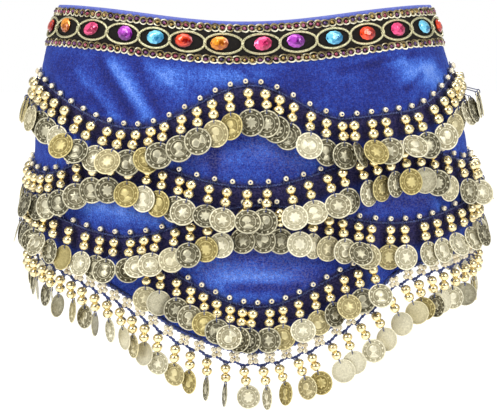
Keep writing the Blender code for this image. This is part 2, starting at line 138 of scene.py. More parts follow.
# Bands of painted sheen and shade across the nap
SHEEN_BANDS = [
    # start turn, start depth, end turn, end depth, half width, shade
    (-0.292, 0.040, -0.208, 0.085, 0.0055, -0.70),
    (-0.258, 0.041, -0.172, 0.084, 0.0065, 0.70),
    (-0.208, 0.044, -0.162, 0.082, 0.0060, -0.65),
    (-0.185, 0.037, -0.120, 0.062, 0.0060, 0.60),
    (-0.328, 0.056, -0.247, 0.089, 0.0065, 0.55),
    (-0.297, 0.074, -0.267, 0.086, 0.0045, -0.70),
    (-0.135, 0.043, -0.010, 0.043, 0.0130, 1.50),
    (-0.012, 0.038, 0.012, 0.045, 0.0035, -0.90),
    (-0.420, 0.044, -0.340, 0.074, 0.0180, -0.95),
    (0.080, 0.055, 0.240, 0.066, 0.0180, -0.45),
    (0.182, 0.046, 0.350, 0.040, 0.0040, -0.75),
    (0.272, 0.047, 0.322, 0.044, 0.0028, 0.80),
    (0.320, 0.050, 0.400, 0.066, 0.0135, 1.70),
    (0.308, 0.069, 0.352, 0.058, 0.0036, -1.00),
    (0.012, 0.036, 0.035, 0.043, 0.0050, 0.75),
    (-0.290, 0.167, -0.150, 0.172, 0.0095, 1.25),
    (-0.060, 0.106, -0.062, 0.128, 0.0050, -0.70),
    (-0.045, 0.112, 0.020, 0.112, 0.0080, 0.50),
    (0.050, 0.098, 0.120, 0.128, 0.0070, 0.35),
    (0.200, 0.160, 0.330, 0.166, 0.0070, -0.30),
    (0.330, 0.166, 0.350, 0.172, 0.0050, 0.90),
    (-0.040, 0.223, 0.075, 0.222, 0.0045, -0.85),
    (-0.045, 0.212, 0.060, 0.216, 0.0090, 1.05),
    (-0.015, 0.229, 0.040, 0.230, 0.0040, 0.50),
    (-0.620, 0.050, -0.520, 0.078, 0.0120, 0.70),
    (-0.760, 0.060, -0.680, 0.074, 0.0120, -0.60),
    (-0.880, 0.048, -0.820, 0.072, 0.0100, 0.70),
    (0.560, 0.050, 0.660, 0.072, 0.0120, -0.60),
    (0.720, 0.054, 0.800, 0.078, 0.0120, 0.70),
    (0.850, 0.046, 0.950, 0.062, 0.0090, -0.60),
    (-0.900, 0.100, -0.780, 0.104, 0.0090, 0.55),
    (0.640, 0.096, 0.760, 0.102, 0.0090, 0.55),
    (-0.820, 0.146, -0.700, 0.150, 0.0090, -0.50),
    (0.700, 0.148, 0.820, 0.144, 0.0090, 0.50),
]

# Pile rubbed thin, where a greyer ground shows through
WORN = [
    # start turn, start depth, end turn, end depth, half width, share
    (-0.110, 0.112, -0.050, 0.114, 0.0110, 0.90),
    (0.010, 0.104, 0.080, 0.116, 0.0120, 1.00),
    (0.110, 0.108, 0.180, 0.122, 0.0080, 0.70),
    (-0.300, 0.160, -0.160, 0.166, 0.0100, 0.80),
    (0.200, 0.158, 0.330, 0.162, 0.0090, 0.70),
    (-0.070, 0.206, 0.085, 0.212, 0.0130, 1.00),
    (-0.020, 0.184, 0.060, 0.190, 0.0100, 1.00),
    (-0.700, 0.100, -0.560, 0.110, 0.0100, 0.60),
    (0.600, 0.104, 0.760, 0.112, 0.0100, 0.60),
    (-0.950, 0.150, -0.800, 0.150, 0.0100, 0.50),
    (0.820, 0.146, 0.960, 0.150, 0.0100, 0.50),
]

# Headings of the dangle rows, as in the solids
ROWS = {
    # name: turn and depth of the turning points of each swag
    "coin_row_1": [
        (-1.000, 0.0520), (-0.750, 0.0900), (-0.500, 0.0580), (-0.220, 0.0935), (0.010, 0.0500),
        (0.183, 0.0835), (0.290, 0.0840), (0.500, 0.0530), (0.750, 0.0880), (1.000, 0.0520),
    ],
    "coin_row_2": [
        (-1.000, 0.1220), (-0.730, 0.1120), (-0.400, 0.1412), (-0.245, 0.1180), (0.000, 0.1345),
        (0.280, 0.1130), (0.440, 0.1310), (0.730, 0.1100), (1.000, 0.1220),
    ],
    "coin_row_3": [
        (-0.620, 0.1720), (-0.500, 0.1670), (-0.245, 0.1860), (0.010, 0.1500),
        (0.285, 0.1768), (0.500, 0.1620), (0.620, 0.1680),
    ],
    "coin_row_4": [(-0.190, 0.2060), (0.010, 0.2350), (0.205, 0.2060)],
}
ROW_END_MARGIN = 0.03
LIFT = 0.0072
LIFT_FULL_GAP = 0.030
LIFT_NO_GAP = 0.050

# Dangles: drops are below their heading
DANGLES = {
    # row: pitch; drops of its two beads and its coin's top; radius of coin and of bead; bead's half height
    "coin_row_1": (0.0132, 0.0095, 0.0182, 0.0224, 0.01165, 0.0049, 0.0046),
    "coin_row_2": (0.0144, 0.0090, 0.0173, 0.0215, 0.01140, 0.0048, 0.0044),
    "coin_row_3": (0.0132, 0.0089, 0.0171, 0.0212, 0.01090, 0.0047, 0.0043),
    "coin_row_4": (0.0111, 0.0090, 0.0169, 0.0206, 0.01075, 0.0046, 0.0042),
    "hem": (0.0134, 0.0049, 0.0124, 0.0168, 0.01020, 0.0045, 0.0041),
}
LEANS = {
    # row: turn and degrees that a dangle leans there, + with its lower end towards larger turns
    "coin_row_1": [
        (-0.42, -6), (-0.33, -16), (-0.26, -22), (-0.22, -17), (-0.18, -14), (-0.14, -6), (-0.08, 7),
        (-0.02, 3), (0.02, 4), (0.05, -4), (0.07, -13), (0.13, -9), (0.16, 0), (0.19, -4), (0.25, 0),
        (0.285, 10), (0.33, 14), (0.37, 24), (0.41, 22), (0.50, 0),
    ],
    "coin_row_2": [
        (-0.40, 0), (-0.35, -5), (-0.32, 2), (-0.18, -7), (-0.14, -12), (-0.10, -10), (-0.02, -7),
        (0.02, -3), (0.05, 0), (0.08, 10), (0.15, 10), (0.18, 17), (0.33, 3), (0.36, -3),
        (0.40, 10), (0.50, 0),
    ],
    "coin_row_3": [
        (-0.35, -3), (-0.20, -8), (-0.10, -5), (0.15, 0), (0.18, -7), (0.20, -12), (0.24, 0), (0.27, -5),
        (0.33, 5), (0.40, 13), (0.50, 0),
    ],
    "coin_row_4": [(-0.10, 0), (-0.08, 5), (0.00, -8), (0.05, 0), (0.07, 10), (0.12, 12), (0.17, 8)],
    "hem": [
        (-0.30, 0), (-0.253, 9), (-0.2295, 8), (-0.20, 2), (-0.18, -3), (-0.05, 0),
        (-0.016, 10), (0.016, 10), (0.041, 20), (0.0955, 22), (0.129, 24), (0.156, 14), (0.177, 26),
        (0.232, 28), (0.26, 24), (0.30, 10), (0.50, 0),
    ],
}
SMALL_BEAD_RADIUS = 0.0023
SMALL_BEAD_HOLE = 0.00085
COIN_HOLE_INSET = 0.0015
CHAIN_DROP = 0.0036
CHAIN_RADIUS = 0.00065
THREAD_RADIUS = 0.0004
CLOTH_CLEAR = 0.0012
THREAD_OUT = 0.0012
STITCH = 0.0009
EDGE_STITCH = 0.0011

# Lattice below the hem
CLUSTER_DROP = 0.0056
CLUSTER_BEAD_RADIUS = 0.0025
CLUSTER_SPREAD = 0.0032
LOWER_THREAD_DROP = 0.0096
LOWER_THREAD_DIP = 0.0021

# Trim on the waistband
RIBBON_TOP = 0.0088
RIBBON_BOTTOM = 0.0292
RIBBON_OUT = 0.00035
RIBBON_HIGH = RIBBON_OUT + 0.0009
BRAID_DEPTHS = {"ring_braid_upper": 0.0058, "ring_braid_lower": 0.0322}
RING_HALF_WIDTH = 0.0039
RING_HALF_HEIGHT = 0.0032
RING_WIRE = 0.00060
RING_PITCH = 0.0069
BED_HALF_HEIGHT = 0.0026
GEM_DEPTH = 0.0190
GEM_HALF_WIDTH = 0.00775
GEM_HALF_HEIGHT = 0.0059
FRAME_HALF_HEIGHT = 0.0083
FRAME_FULLNESS = 0.42
FRAME_CORD = 0.00105
TRIM_SHIFT = [
    # turn, how far the ovals sit along from even places there
    (-0.75, 0.0000),
    (-0.43, 0.0035),
    (-0.29, 0.0035),
    (-0.21, 0.0023),
    (-0.14, -0.0017),
    (-0.07, -0.0027),
    (0.00, -0.0019),
    (0.14, -0.0014),
    (0.21, -0.0030),
    (0.29, -0.0035),
    (0.43, -0.0035),
    (0.75, 0.0000),
]

# Tab and pad inside the far side gap
TAB_TOP = 0.0030
TAB_BOTTOM = 0.0340
TAB_LEFT = 0.030
TAB_RIGHT = 0.046
TAB_STEP_START = -0.0045
TAB_STEP_END = 0.0063
PAD_TOP = 0.0075
PAD_BOTTOM = 0.0295
PAD_NEAR_GAP = 0.0090
PAD_FAR = 0.0410
SEAM = 0.00035


def smooth_curve(table, index):
    """Curve through one column of a table against its first column, with no overshoot."""
    xs = np.array([row[0] for row in table])
    ys = np.array([row[index] for row in table])
    steps = np.diff(xs)
    slopes = np.diff(ys) / steps
    before, after = slopes[:-1], slopes[1:]
    same_way = before * after > 0
    inner = np.where(same_way, 2 * before * after / np.where(same_way, before + after, 1), 0)
    tangents = np.concatenate([[slopes[0]], inner, [slopes[-1]]])

    def at(x):
        i = np.clip(np.searchsorted(xs, x) - 1, 0, len(xs) - 2)
        u = (x - xs[i]) / steps[i]
        rise = (2 * u**3 - 3 * u**2 + 1) * ys[i] + (3 * u**2 - 2 * u**3) * ys[i + 1]
        bend = (u**3 - 2 * u**2 + u) * tangents[i] + (u**3 - u**2) * tangents[i + 1]
        return rise + bend * steps[i]

    return at


def swag_curve(table):
    """Cosine swags between a heading's turning points."""
    xs = np.array([row[0] for row in table])
    ys = np.array([row[1] for row in table])

    def at(turn):
        turn = np.clip(turn, xs[0], xs[-1])
        i = np.clip(np.searchsorted(xs, turn) - 1, 0, len(xs) - 2)
        share = 0.5 - 0.5 * np.cos(np.pi * (turn - xs[i]) / (xs[i + 1] - xs[i]))
        return ys[i] + (ys[i + 1] - ys[i]) * share

    return at


CENTRE_X = smooth_curve(SECTIONS, 1)
HALF_WIDTH = smooth_curve(SECTIONS, 2)
HALF_DEPTH = smooth_curve(SECTIONS, 3)
hem_depth = smooth_curve(HEM, 1)
HEADINGS = {name: swag_curve(table) for name, table in ROWS.items()}

ARC_STEPS = 2000
ARC_ANGLES = np.linspace(0.0, math.pi, ARC_STEPS + 1)
ARC_SPEED = np.hypot(HIP_HALF_WIDTH * np.cos(ARC_ANGLES), HIP_HALF_DEPTH * np.sin(ARC_ANGLES))
ARC_PARTS = (ARC_SPEED[1:] + ARC_SPEED[:-1]) / 2 * np.diff(ARC_ANGLES)
ARC_LENGTHS = np.concatenate([[0.0], np.cumsum(ARC_PARTS)])
HALF_GIRTH = float(ARC_LENGTHS[-1])


def angle_of(turn):
    return np.sign(turn) * np.interp(np.abs(turn) * HALF_GIRTH, ARC_LENGTHS, ARC_ANGLES)


def outward(turn):
    """Level unit vectors out of the cloth."""
    angle = angle_of(turn)
    x = HIP_HALF_DEPTH * np.sin(angle)
    y = -HIP_HALF_WIDTH * np.cos(angle)
    size = np.hypot(x, y)
    return np.stack([x / size, y / size, np.zeros_like(x)], -1)


def along(turn):
    """Level unit vectors along the cloth, the way turn grows."""
    normal = outward(turn)
    return np.stack([-normal[..., 1], normal[..., 0], np.zeros_like(normal[..., 0])], -1)


UP = np.array([0.0, 0.0, 1.0])


def upright(turn):
    """Axes of what lies against the cloth: along it, up and into it."""
    return np.array([along(turn), UP, -outward(turn)])


def flat_place(across, depth):
    """Places on a cloth that is laid flat."""
    across, depth = np.broadcast_arrays(across, depth)
    return np.stack([across, depth, np.zeros(depth.shape)], -1).reshape(-1, 3)


def round_angles(count):
    return np.arange(count) * 2 * np.pi / count


def oval(count, wide, tall, height, twist=0.0):
    """Points evenly round a level oval about z, with a twist in steps."""
    angles = (np.arange(count) + twist) * 2 * np.pi / count
    return np.stack([wide * np.cos(angles), tall * np.sin(angles), np.full(count, height)], -1)


def add_object(name, data, place=(0, 0, 0), rotation=(0, 0, 0)):
    made = bpy.data.objects.new(name, data)
    made.location = place
    made.rotation_euler = rotation
    bpy.context.scene.collection.objects.link(made)
    return made


def relief(table, turn, depth):
    """Height of the folds in a table at places on the cloth."""
    total = np.zeros(np.broadcast(turn, depth).shape)
    across = turn * HALF_GIRTH
    for turn_a, depth_a, turn_b, depth_b, half_width, height in table:
        run = np.array([(turn_b - turn_a) * HALF_GIRTH, depth_b - depth_a])
        u = across - turn_a * HALF_GIRTH
        v = depth - depth_a
        share = np.clip((u * run[0] + v * run[1]) / run.dot(run), 0, 1)
        distance = np.hypot(u - share * run[0], v - share * run[1])
        total += height * np.exp(-((distance / half_width) ** 2))
    return total * np.clip((depth - BAND_HEIGHT) / FOLD_FADE, 0, 1)


def spot(turn, depth, out=0.0, fine=False):
    """Places on the cloth, or straight below its hem."""
    turn, depth, out = np.broadcast_arrays(*(np.asarray(v, float) for v in (turn, depth, out)))
    on_cloth = np.minimum(depth, hem_depth(turn))
    angle = angle_of(turn)
    x = CENTRE_X(on_cloth) + HALF_WIDTH(on_cloth) * np.sin(angle)
    y = -HALF_DEPTH(on_cloth) * np.cos(angle)
    z = TOP_AT_SIDES - TOP_DIP * np.cos(angle) ** 4 - depth
    height = relief(FOLDS, turn, on_cloth) + out
    if fine:
        height = height + relief(CREASES, turn, on_cloth)
    return np.stack([x, y, z], -1) + outward(turn) * height[..., None]


class Heap:
    """Many small forms gathered into one mesh, with values stored on their points."""

    def __init__(self):
        self.points = []
        self.faces = {3: [], 4: []}
        self.values = {}
        self.count = 0

    def add(self, points, faces, **values):
        points = np.asarray(points, float).reshape(-1, 3)
        for group in faces:
            group = np.asarray(group, int)
            self.faces[group.shape[1]].append(group + self.count)
        self.points.append(points)
        for name, value in values.items():
            value = np.asarray(value, float)
            if value.ndim == 0:
                value = np.full(len(points), float(value))
            self.values.setdefault(name, []).append(value)
        self.count += len(points)

    def make(self, name, finish, smooth=True):
        points = np.concatenate(self.points)
        groups = [np.concatenate(self.faces[size]) for size in (4, 3) if self.faces[size]]
        sizes = np.concatenate([np.full(len(group), group.shape[1]) for group in groups])
        corners = np.concatenate([group.ravel() for group in groups])
        mesh = bpy.data.meshes.new(name)
        mesh.vertices.add(len(points))
        mesh.vertices.foreach_set("co", points.astype(np.float32).ravel())
        mesh.loops.add(len(corners))
        mesh.loops.foreach_set("vertex_index", corners.astype(np.int32))
        mesh.polygons.add(len(sizes))
        starts = np.concatenate([[0], np.cumsum(sizes)[:-1]])
        mesh.polygons.foreach_set("loop_start", starts.astype(np.int32))
        mesh.polygons.foreach_set("use_smooth", np.full(len(sizes), smooth))
        mesh.update(calc_edges=True)
        mesh.validate()
        for key, parts in self.values.items():
            data = np.concatenate(parts)
            kind, field = ("FLOAT_VECTOR", "vector") if data.ndim == 2 else ("FLOAT", "value")
            layer = mesh.attributes.new(key, kind, "POINT")
            layer.data.foreach_set(field, data.astype(np.float32).ravel())
        mesh.materials.append(finish)
        return add_object(name, mesh)


def grid_faces(rows, columns, wrap=False):
    """Quads of a grid of points numbered row by row, wrapped round its columns if asked."""
    i, j = np.meshgrid(np.arange(rows - 1), np.arange(columns if wrap else columns - 1), indexing="ij")
    here, beside = i * columns + j, i * columns + (j + 1) % columns
    return np.stack([here, beside, beside + columns, here + columns], -1).reshape(-1, 4)


def placed(form, centre, axes, scale=1.0):
    """A form's points moved to a place, with its own x, y and z along three axes."""
    return np.asarray(centre) + (form * scale) @ np.asarray(axes)


def bead_form(segments, rings, hole, low_end, high_end):
    """Unit bead turned about z; each end is a radius and a height, for a sunken hole or a short neck."""
    first = math.asin(hole)
    profile = [(math.sin(angle), math.cos(angle)) for angle in np.linspace(math.pi - first, first, rings)]
    points = [oval(segments, radius, radius, height) for radius, height in [low_end, *profile, high_end]]
    return np.concatenate(points), [grid_faces(len(points), segments, wrap=True)]


def tube(heap, centres, radius, sides=6, closed=False, **values):
    """A round tube along a line of centres; radius may vary along it."""
    centres = np.asarray(centres, float)
    count = len(centres)
    if closed:
        ahead = np.roll(centres, -1, 0) - np.roll(centres, 1, 0)
    else:
        ahead = np.gradient(centres, axis=0)
    ahead /= np.linalg.norm(ahead, axis=1)[:, None]
    hint = np.cross(ahead, UP)
    weak = np.linalg.norm(hint, axis=1) < 0.1
    hint[weak] = np.cross(ahead[weak], np.array([0.3, 1.0, 0.0]))
    hint /= np.linalg.norm(hint, axis=1)[:, None]
    other = np.cross(hint, ahead)
    angles = round_angles(sides)
    radius = np.broadcast_to(np.asarray(radius, float), (count,))[:, None, None]
    ring = hint[:, None] * np.cos(angles)[:, None] + other[:, None] * np.sin(angles)[:, None]
    points = (centres[:, None] + ring * radius).reshape(-1, 3)
    faces = [grid_faces(count, sides, wrap=True)]
    if closed:
        last = (count - 1) * sides
        j = np.arange(sides)
        k = (j + 1) % sides
        faces.append(np.stack([last + j, last + k, k, j], -1))
    heap.add(points, faces, **values)


# Materials


class Net:
    """The nodes of a material or of the world, with short ways to add to them."""

    def __init__(self, tree):
        self.tree = tree

    def set(self, node, inputs):
        """Give inputs their numbers and colours, or link them to the outputs that feed them."""
        for name, value in inputs.items():
            socket = node.inputs[name]
            if isinstance(value, bpy.types.NodeSocket):
                self.tree.links.new(value, socket)
            elif socket.type == "RGBA":
                socket.default_value = (*value, 1.0)
            else:
                socket.default_value = value
        return node

    def node(self, kind, inputs, **settings):
        made = self.tree.nodes.new(kind)
        for key, value in settings.items():
            setattr(made, key, value)
        return self.set(made, inputs)

    def place(self, kind="Object"):
        return self.node("ShaderNodeTexCoord", {}).outputs[kind]

    def attribute(self, name, output="Fac"):
        return self.node("ShaderNodeAttribute", {}, attribute_name=name).outputs[output]

    def noise(self, vector, scale, detail=4.0, roughness=0.55):
        inputs = {"Vector": vector, "Scale": scale, "Detail": detail, "Roughness": roughness}
        return self.node("ShaderNodeTexNoise", inputs).outputs["Fac"]

    def stretched_noise(self, vector, scales, detail, roughness=0.55):
        """Noise with a scale of its own along each axis."""
        mapping = self.node("ShaderNodeMapping", {"Vector": vector, "Scale": scales})
        return self.noise(mapping.outputs["Vector"], 1.0, detail, roughness)

    def math(self, operation, first, second):
        return self.node("ShaderNodeMath", {0: first, 1: second}, operation=operation).outputs["Value"]

    def plus(self, value, source, share):
        """A value with a share of another added to it."""
        return self.math("ADD", value, self.math("MULTIPLY", source, share))

    def ramp(self, source, stops, interpolation="LINEAR"):
        """Colour ramp from a list of position and colour, where a plain number is a grey."""
        node = self.node("ShaderNodeValToRGB", {"Fac": source})
        node.color_ramp.interpolation = interpolation
        elements = node.color_ramp.elements
        while len(elements) < len(stops):
            elements.new(0.5)
        for element, (position, colour) in zip(elements, stops):
            element.position = position
            element.color = (*(colour if isinstance(colour, tuple) else (colour,) * 3), 1.0)
        return node.outputs["Color"]

    def mix(self, factor, first, second):
        return self.node("ShaderNodeMix", {0: factor, 6: first, 7: second}, data_type="RGBA").outputs[2]

    def bump(self, height, strength, distance, **below):
        inputs = {"Height": height, "Strength": strength, "Distance": distance, **below}
        return self.node("ShaderNodeBump", inputs).outputs["Normal"]


class Finish(Net):
    """A material that is being made."""

    def __init__(self, name):
        self.material = bpy.data.materials.new(name)
        self.material.use_nodes = True
        super().__init__(self.material.node_tree)

    def shaded(self, inputs):
        """The material, once its shader has its inputs."""
        self.set(self.tree.nodes["Principled BSDF"], inputs)
        return self.material


def velvet_material():
    """Crushed royal blue velvet: soft blotches and a fine grain with a little sheen, painted light and shade
    on its folds, creases and bands, a painted rim light along the top edge and painted shade behind the
    dangles.
    """
    net = Finish("velvet")
    cloth = net.attribute("cloth_place", "Vector")
    patches = net.stretched_noise(cloth, (24.0, 30.0, 1.0), 3.0, 0.6)
    mottle = net.stretched_noise(cloth, (300.0, 210.0, 1.0), 4.0, 0.7)
    specks = net.stretched_noise(cloth, (520.0, 640.0, 1.0), 2.0, 0.7)
    grain = net.noise(net.place(), 950.0, 2.0, 0.8)
    # Painted sheen and shade of the folds, creases and bands move the colour lighter or darker
    value = net.math("MULTIPLY", net.attribute("pile"), 0.21)
    for source, share in ((patches, 0.55), (mottle, 0.65), (grain, 1.05)):
        value = net.plus(value, source, share)
    colour = net.ramp(
        net.math("SUBTRACT", value, 0.625),
        [
            (0.18, (0.0045, 0.008, 0.105)),
            (0.42, (0.0090, 0.023, 0.225)),
            (0.62, (0.0230, 0.066, 0.390)),
            (0.84, (0.0620, 0.180, 0.680)),
            (1.00, (0.1700, 0.300, 0.740)),
        ],
    )
    speck_share = net.math("MULTIPLY", net.ramp(specks, [(0.42, 0.0), (0.68, 0.72)]), net.attribute("worn"))
    colour = net.mix(speck_share, colour, (0.140, 0.130, 0.300))
    # Painted rim light: the top edge is mixed towards a pale blue, uneven with the mottle
    rim_light_share = net.math("MULTIPLY", net.attribute("rim"), net.math("ADD", mottle, 0.35))
    colour = net.mix(rim_light_share, colour, (0.190, 0.225, 0.620))
    # Painted shade behind the dangles: a dark speckled colour, made uneven by the mottle
    painted_shade_tone = net.ramp(specks, [(0.40, (0.008, 0.005, 0.028)), (0.66, (0.060, 0.048, 0.125))])
    uneven = net.math("ADD", net.math("MULTIPLY", mottle, 0.9), 0.52)
    shade = net.math("MULTIPLY", net.attribute("under_fringe"), uneven)
    return net.shaded({
        "Base Color": net.mix(shade, colour, painted_shade_tone),
        "Roughness": 0.80,
        "Specular IOR Level": 0.20,
        "Sheen Weight": 0.16,
        "Sheen Roughness": 0.35,
        "Sheen Tint": (0.12, 0.32, 1.0),
        "Normal": net.bump(grain, 0.6, 0.0005, Normal=net.bump(mottle, 0.45, 0.0016)),
    })


def grained(name, grain, stops, bump, inputs):
    """A finish whose colour and surface follow one grain; a list among its inputs is a ramp on it."""
    net = Finish(name)
    wear = net.noise(net.place(), *grain)
    ramps = {key: net.ramp(wear, value) for key, value in inputs.items() if isinstance(value, list)}
    normal = net.bump(wear, *bump)
    return net.shaded({**inputs, **ramps, "Base Color": net.ramp(wear, stops), "Normal": normal})


def thread_material(name, dark, light, scale):
    """Twisted thread: a fine grain between two tones."""
    inputs = {"Roughness": 0.7, "Sheen Weight": 0.3}
    return grained(name, (scale, 3.0, 0.7), [(0.43, dark), (0.68, light)], (0.5, 0.0004), inputs)


def bead_material(name, dark, light, metal, gloss):
    """Polished plating, a little worn and uneven."""
    inputs = {"Metallic": metal, "Roughness": [(0.3, gloss + 0.08), (0.7, gloss)]}
    return grained(name, (260.0,), [(0.30, dark), (0.60, light)], (0.10, 0.0003), inputs)


def cord_material():
    """Pale gold metallic cord with a wound grain."""
    stops = [(0.35, (0.24, 0.21, 0.09)), (0.60, (0.78, 0.74, 0.47))]
    inputs = {"Metallic": 0.70, "Roughness": 0.34}
    return grained("gold_cord", (1300.0, 2.0, 0.7), stops, (0.6, 0.0003), inputs)


COIN_TONES = [
    # tone, colour where it is rubbed, colour in the hollows of its relief
    (0.00, (0.48, 0.45, 0.32), (0.080, 0.071, 0.042)),
    (0.45, (0.58, 0.54, 0.38), (0.130, 0.114, 0.066)),
    (0.62, (0.80, 0.75, 0.55), (0.340, 0.300, 0.180)),
    (0.80, (0.84, 0.79, 0.59), (0.460, 0.420, 0.280)),
    (0.93, (0.62, 0.52, 0.22), (0.270, 0.210, 0.065)),
]


def coin_material():
    """Thin stamped brass: pale where it is rubbed, dark olive in the relief, some coins yellower."""
    net = Finish("antique_brass")
    tone = net.attribute("tone")
    marks = net.stretched_noise(net.attribute("coin_place", "Vector"), (7.0, 7.0, 7.0), 4.0, 0.65)
    rubbed = net.math("SUBTRACT", net.plus(net.attribute("relief"), marks, 1.15), 0.585)
    pale = net.ramp(tone, [(position, colour) for position, colour, _ in COIN_TONES])
    dark = net.ramp(tone, [(position, colour) for position, _, colour in COIN_TONES])
    return net.shaded({
        "Base Color": net.mix(net.ramp(rubbed, [(0.05, 0.0), (0.74, 1.0)]), dark, pale),
        "Metallic": net.ramp(tone, [(0.45, 0.90), (0.72, 0.55)]),
        "Roughness": net.ramp(rubbed, [(0.0, 0.58), (0.8, 0.38)]),
        "Normal": net.bump(marks, 0.60, 0.0005),
    })


def ribbon_material():
    """Black woven ribbon with a faint rib and a few metallic flecks."""
    net = Finish("jacquard")
    cloth = net.attribute("cloth_place", "Vector")
    inputs = {"Vector": cloth, "Scale": 340.0, "Distortion": 1.2}
    weave = net.node("ShaderNodeTexWave", inputs, wave_type="BANDS", bands_direction="X").outputs["Fac"]
    flecks = net.stretched_noise(cloth, (900.0, 1400.0, 1.0), 1.0)
    ground = net.ramp(weave, [(0.2, (0.003, 0.002, 0.002)), (0.9, (0.012, 0.009, 0.007))])
    return net.shaded({
        "Base Color": net.mix(net.ramp(flecks, [(0.66, 0.0), (0.74, 0.6)]), ground, (0.10, 0.08, 0.03)),
        "Roughness": 0.7,
        "Specular IOR Level": 0.2,
        "Normal": net.bump(weave, 0.5, 0.0003),
    })


def ring_material():
    """Gilt wire of the small rings, bright where it turns up to the light and brown where it turns away."""
    net = Finish("ring_gold")
    grain = net.noise(net.place(), 900.0, 2.0, 0.7)
    value = net.math("SUBTRACT", net.plus(net.attribute("tone"), grain, 0.6), 0.30)
    stops = [(0.15, (0.090, 0.060, 0.028)), (0.50, (0.400, 0.320, 0.150)), (0.90, (0.930, 0.880, 0.680))]
    return net.shaded({"Base Color": net.ramp(value, stops), "Metallic": 0.5, "Roughness": 0.32})


def gem_material(name, deep, bright):
    """Clear faceted stone over a mirror back: each facet lies between a deep and a bright tone, with a faint
    painted glow in the stone's own colour.
    """
    net = Finish(name)
    cloud = net.stretched_noise(net.attribute("gem_place", "Vector"), (2.2, 2.2, 2.2), 2.0)
    colour = net.ramp(net.plus(net.attribute("facet"), cloud, 0.6), [(0.42, deep), (0.95, bright)])
    return net.shaded({
        "Base Color": colour,
        "Metallic": 0.25,
        "Roughness": 0.08,
        "Coat Weight": 0.5,
        "Coat Roughness": 0.03,
        # Faint painted glow in the stone's own colour
        "Emission Color": colour,
        "Emission Strength": 0.10,
    })


INNER_BEAD_TONES = [
    # tone from which a colour holds, colour
    (0.0, (0.16, 0.04, 0.15)),
    (0.24, (0.30, 0.04, 0.08)),
    (0.42, (0.42, 0.28, 0.08)),
    (0.58, (0.07, 0.03, 0.12)),
    (0.74, (0.36, 0.09, 0.18)),
    (0.90, (0.05, 0.10, 0.16)),
]


def inner_bead_material():
    """Tiny coloured beads inside the rings, each with its own tone."""
    net = Finish("ring_bead")
    colour = net.ramp(net.attribute("tone"), INNER_BEAD_TONES, "CONSTANT")
    return net.shaded({"Base Color": colour, "Metallic": 0.4, "Roughness": 0.15, "Coat Weight": 0.6})


VELVET = velvet_material()
BLUE_THREAD = thread_material("crochet_thread", (0.005, 0.007, 0.050), (0.085, 0.140, 0.500), 1000.0)
PAD_PILE = thread_material("hook_and_loop", (0.006, 0.006, 0.008), (0.030, 0.030, 0.036), 1100.0)
GOLD_BEAD = bead_material("gold_bead", (0.70, 0.56, 0.29), (0.93, 0.81, 0.49), 1.0, 0.22)
PALE_BEAD = bead_material("pale_bead", (0.76, 0.64, 0.42), (1.0, 0.92, 0.70), 0.25, 0.20)
BRASS = coin_material()
RIBBON = ribbon_material()
GOLD_CORD = cord_material()
RING_GOLD = ring_material()
RING_BEAD = inner_bead_material()
GEM_FINISHES = {
    # name: deep colour, bright colour
    "pink": gem_material("gem_pink", (0.26, 0.002, 0.045), (0.90, 0.070, 0.240)),
    "purple": gem_material("gem_purple", (0.10, 0.003, 0.140), (0.48, 0.060, 0.560)),
    "light_blue": gem_material("gem_light_blue", (0.012, 0.170, 0.340), (0.18, 0.620, 0.850)),
    "red": gem_material("gem_red", (0.22, 0.002, 0.003), (0.90, 0.070, 0.015)),
    "orange": gem_material("gem_orange", (0.30, 0.060, 0.002), (0.90, 0.330, 0.020)),
}
NEAR_GEMS = [
    # name, how far the stone sits off its frame's middle along the ribbon and up it, degrees it is turned
    ("red", 0.0000, 0.0000, 0),
    ("orange", -0.0025, 0.0014, -40),
    ("pink", -0.0015, 0.0003, 5),
    ("purple", 0.0025, 0.0004, -35),
    ("light_blue", 0.0011, 0.0004, -8),
    ("red", -0.0032, 0.0003, -8),
    ("orange", -0.0039, 0.0000, 0),
    ("pink", 0.0015, 0.0000, 12),
    ("purple", -0.0023, 0.0006, 0),
    ("light_blue", 0.0007, 0.0000, 8),
    ("red", 0.0007, 0.0000, 10),
    ("pink", 0.0004, 0.0000, 8),
    ("light_blue", 0.0016, 0.0000, -10),
    ("red", 0.0000, 0.0000, -15),
]


def finish_piece(piece, slot, *nodes):
    """A piece rides on the one body and stands for its nodes."""
    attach(piece, BODY)
    if nodes:
        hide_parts(*nodes)
    return piece


# Velvet wrap

CLOTH_COLUMNS = 380
CLOTH_ROWS = 86
# Painted shade behind the threads of each row of dangles, from just above its heading down towards its coins
FRINGE_SHADE_TOP = -0.0006
FRINGE_SHADE_BOTTOM = 0.030
FRINGE_SHADE_MOST = 0.90
FRINGE_SOFT_TOP = 0.0035
FRINGE_SOFT_BOTTOM = 0.010
FRINGE_SOFT_END = 0.02
# Painted rim light along the top edge fades over this depth
RIM_LIGHT_DEPTH = 0.0032
EDGE_ROLL = 0.0006
EDGE_ROLL_DEPTH = 0.0010
RIPPLE = 0.00018
WORN_LEAST = 0.25
# Heights of fold and crease that give one step of painted light or shade
FOLD_SHADE = 0.0040
CREASE_SHADE = 0.0018
DARKEST_PAINTED_SHADE = -1.2
LIGHTEST_PAINTED_SHEEN = 1.9


def ease(value):
    value = np.clip(value, 0, 1)
    return value * value * (3 - 2 * value)


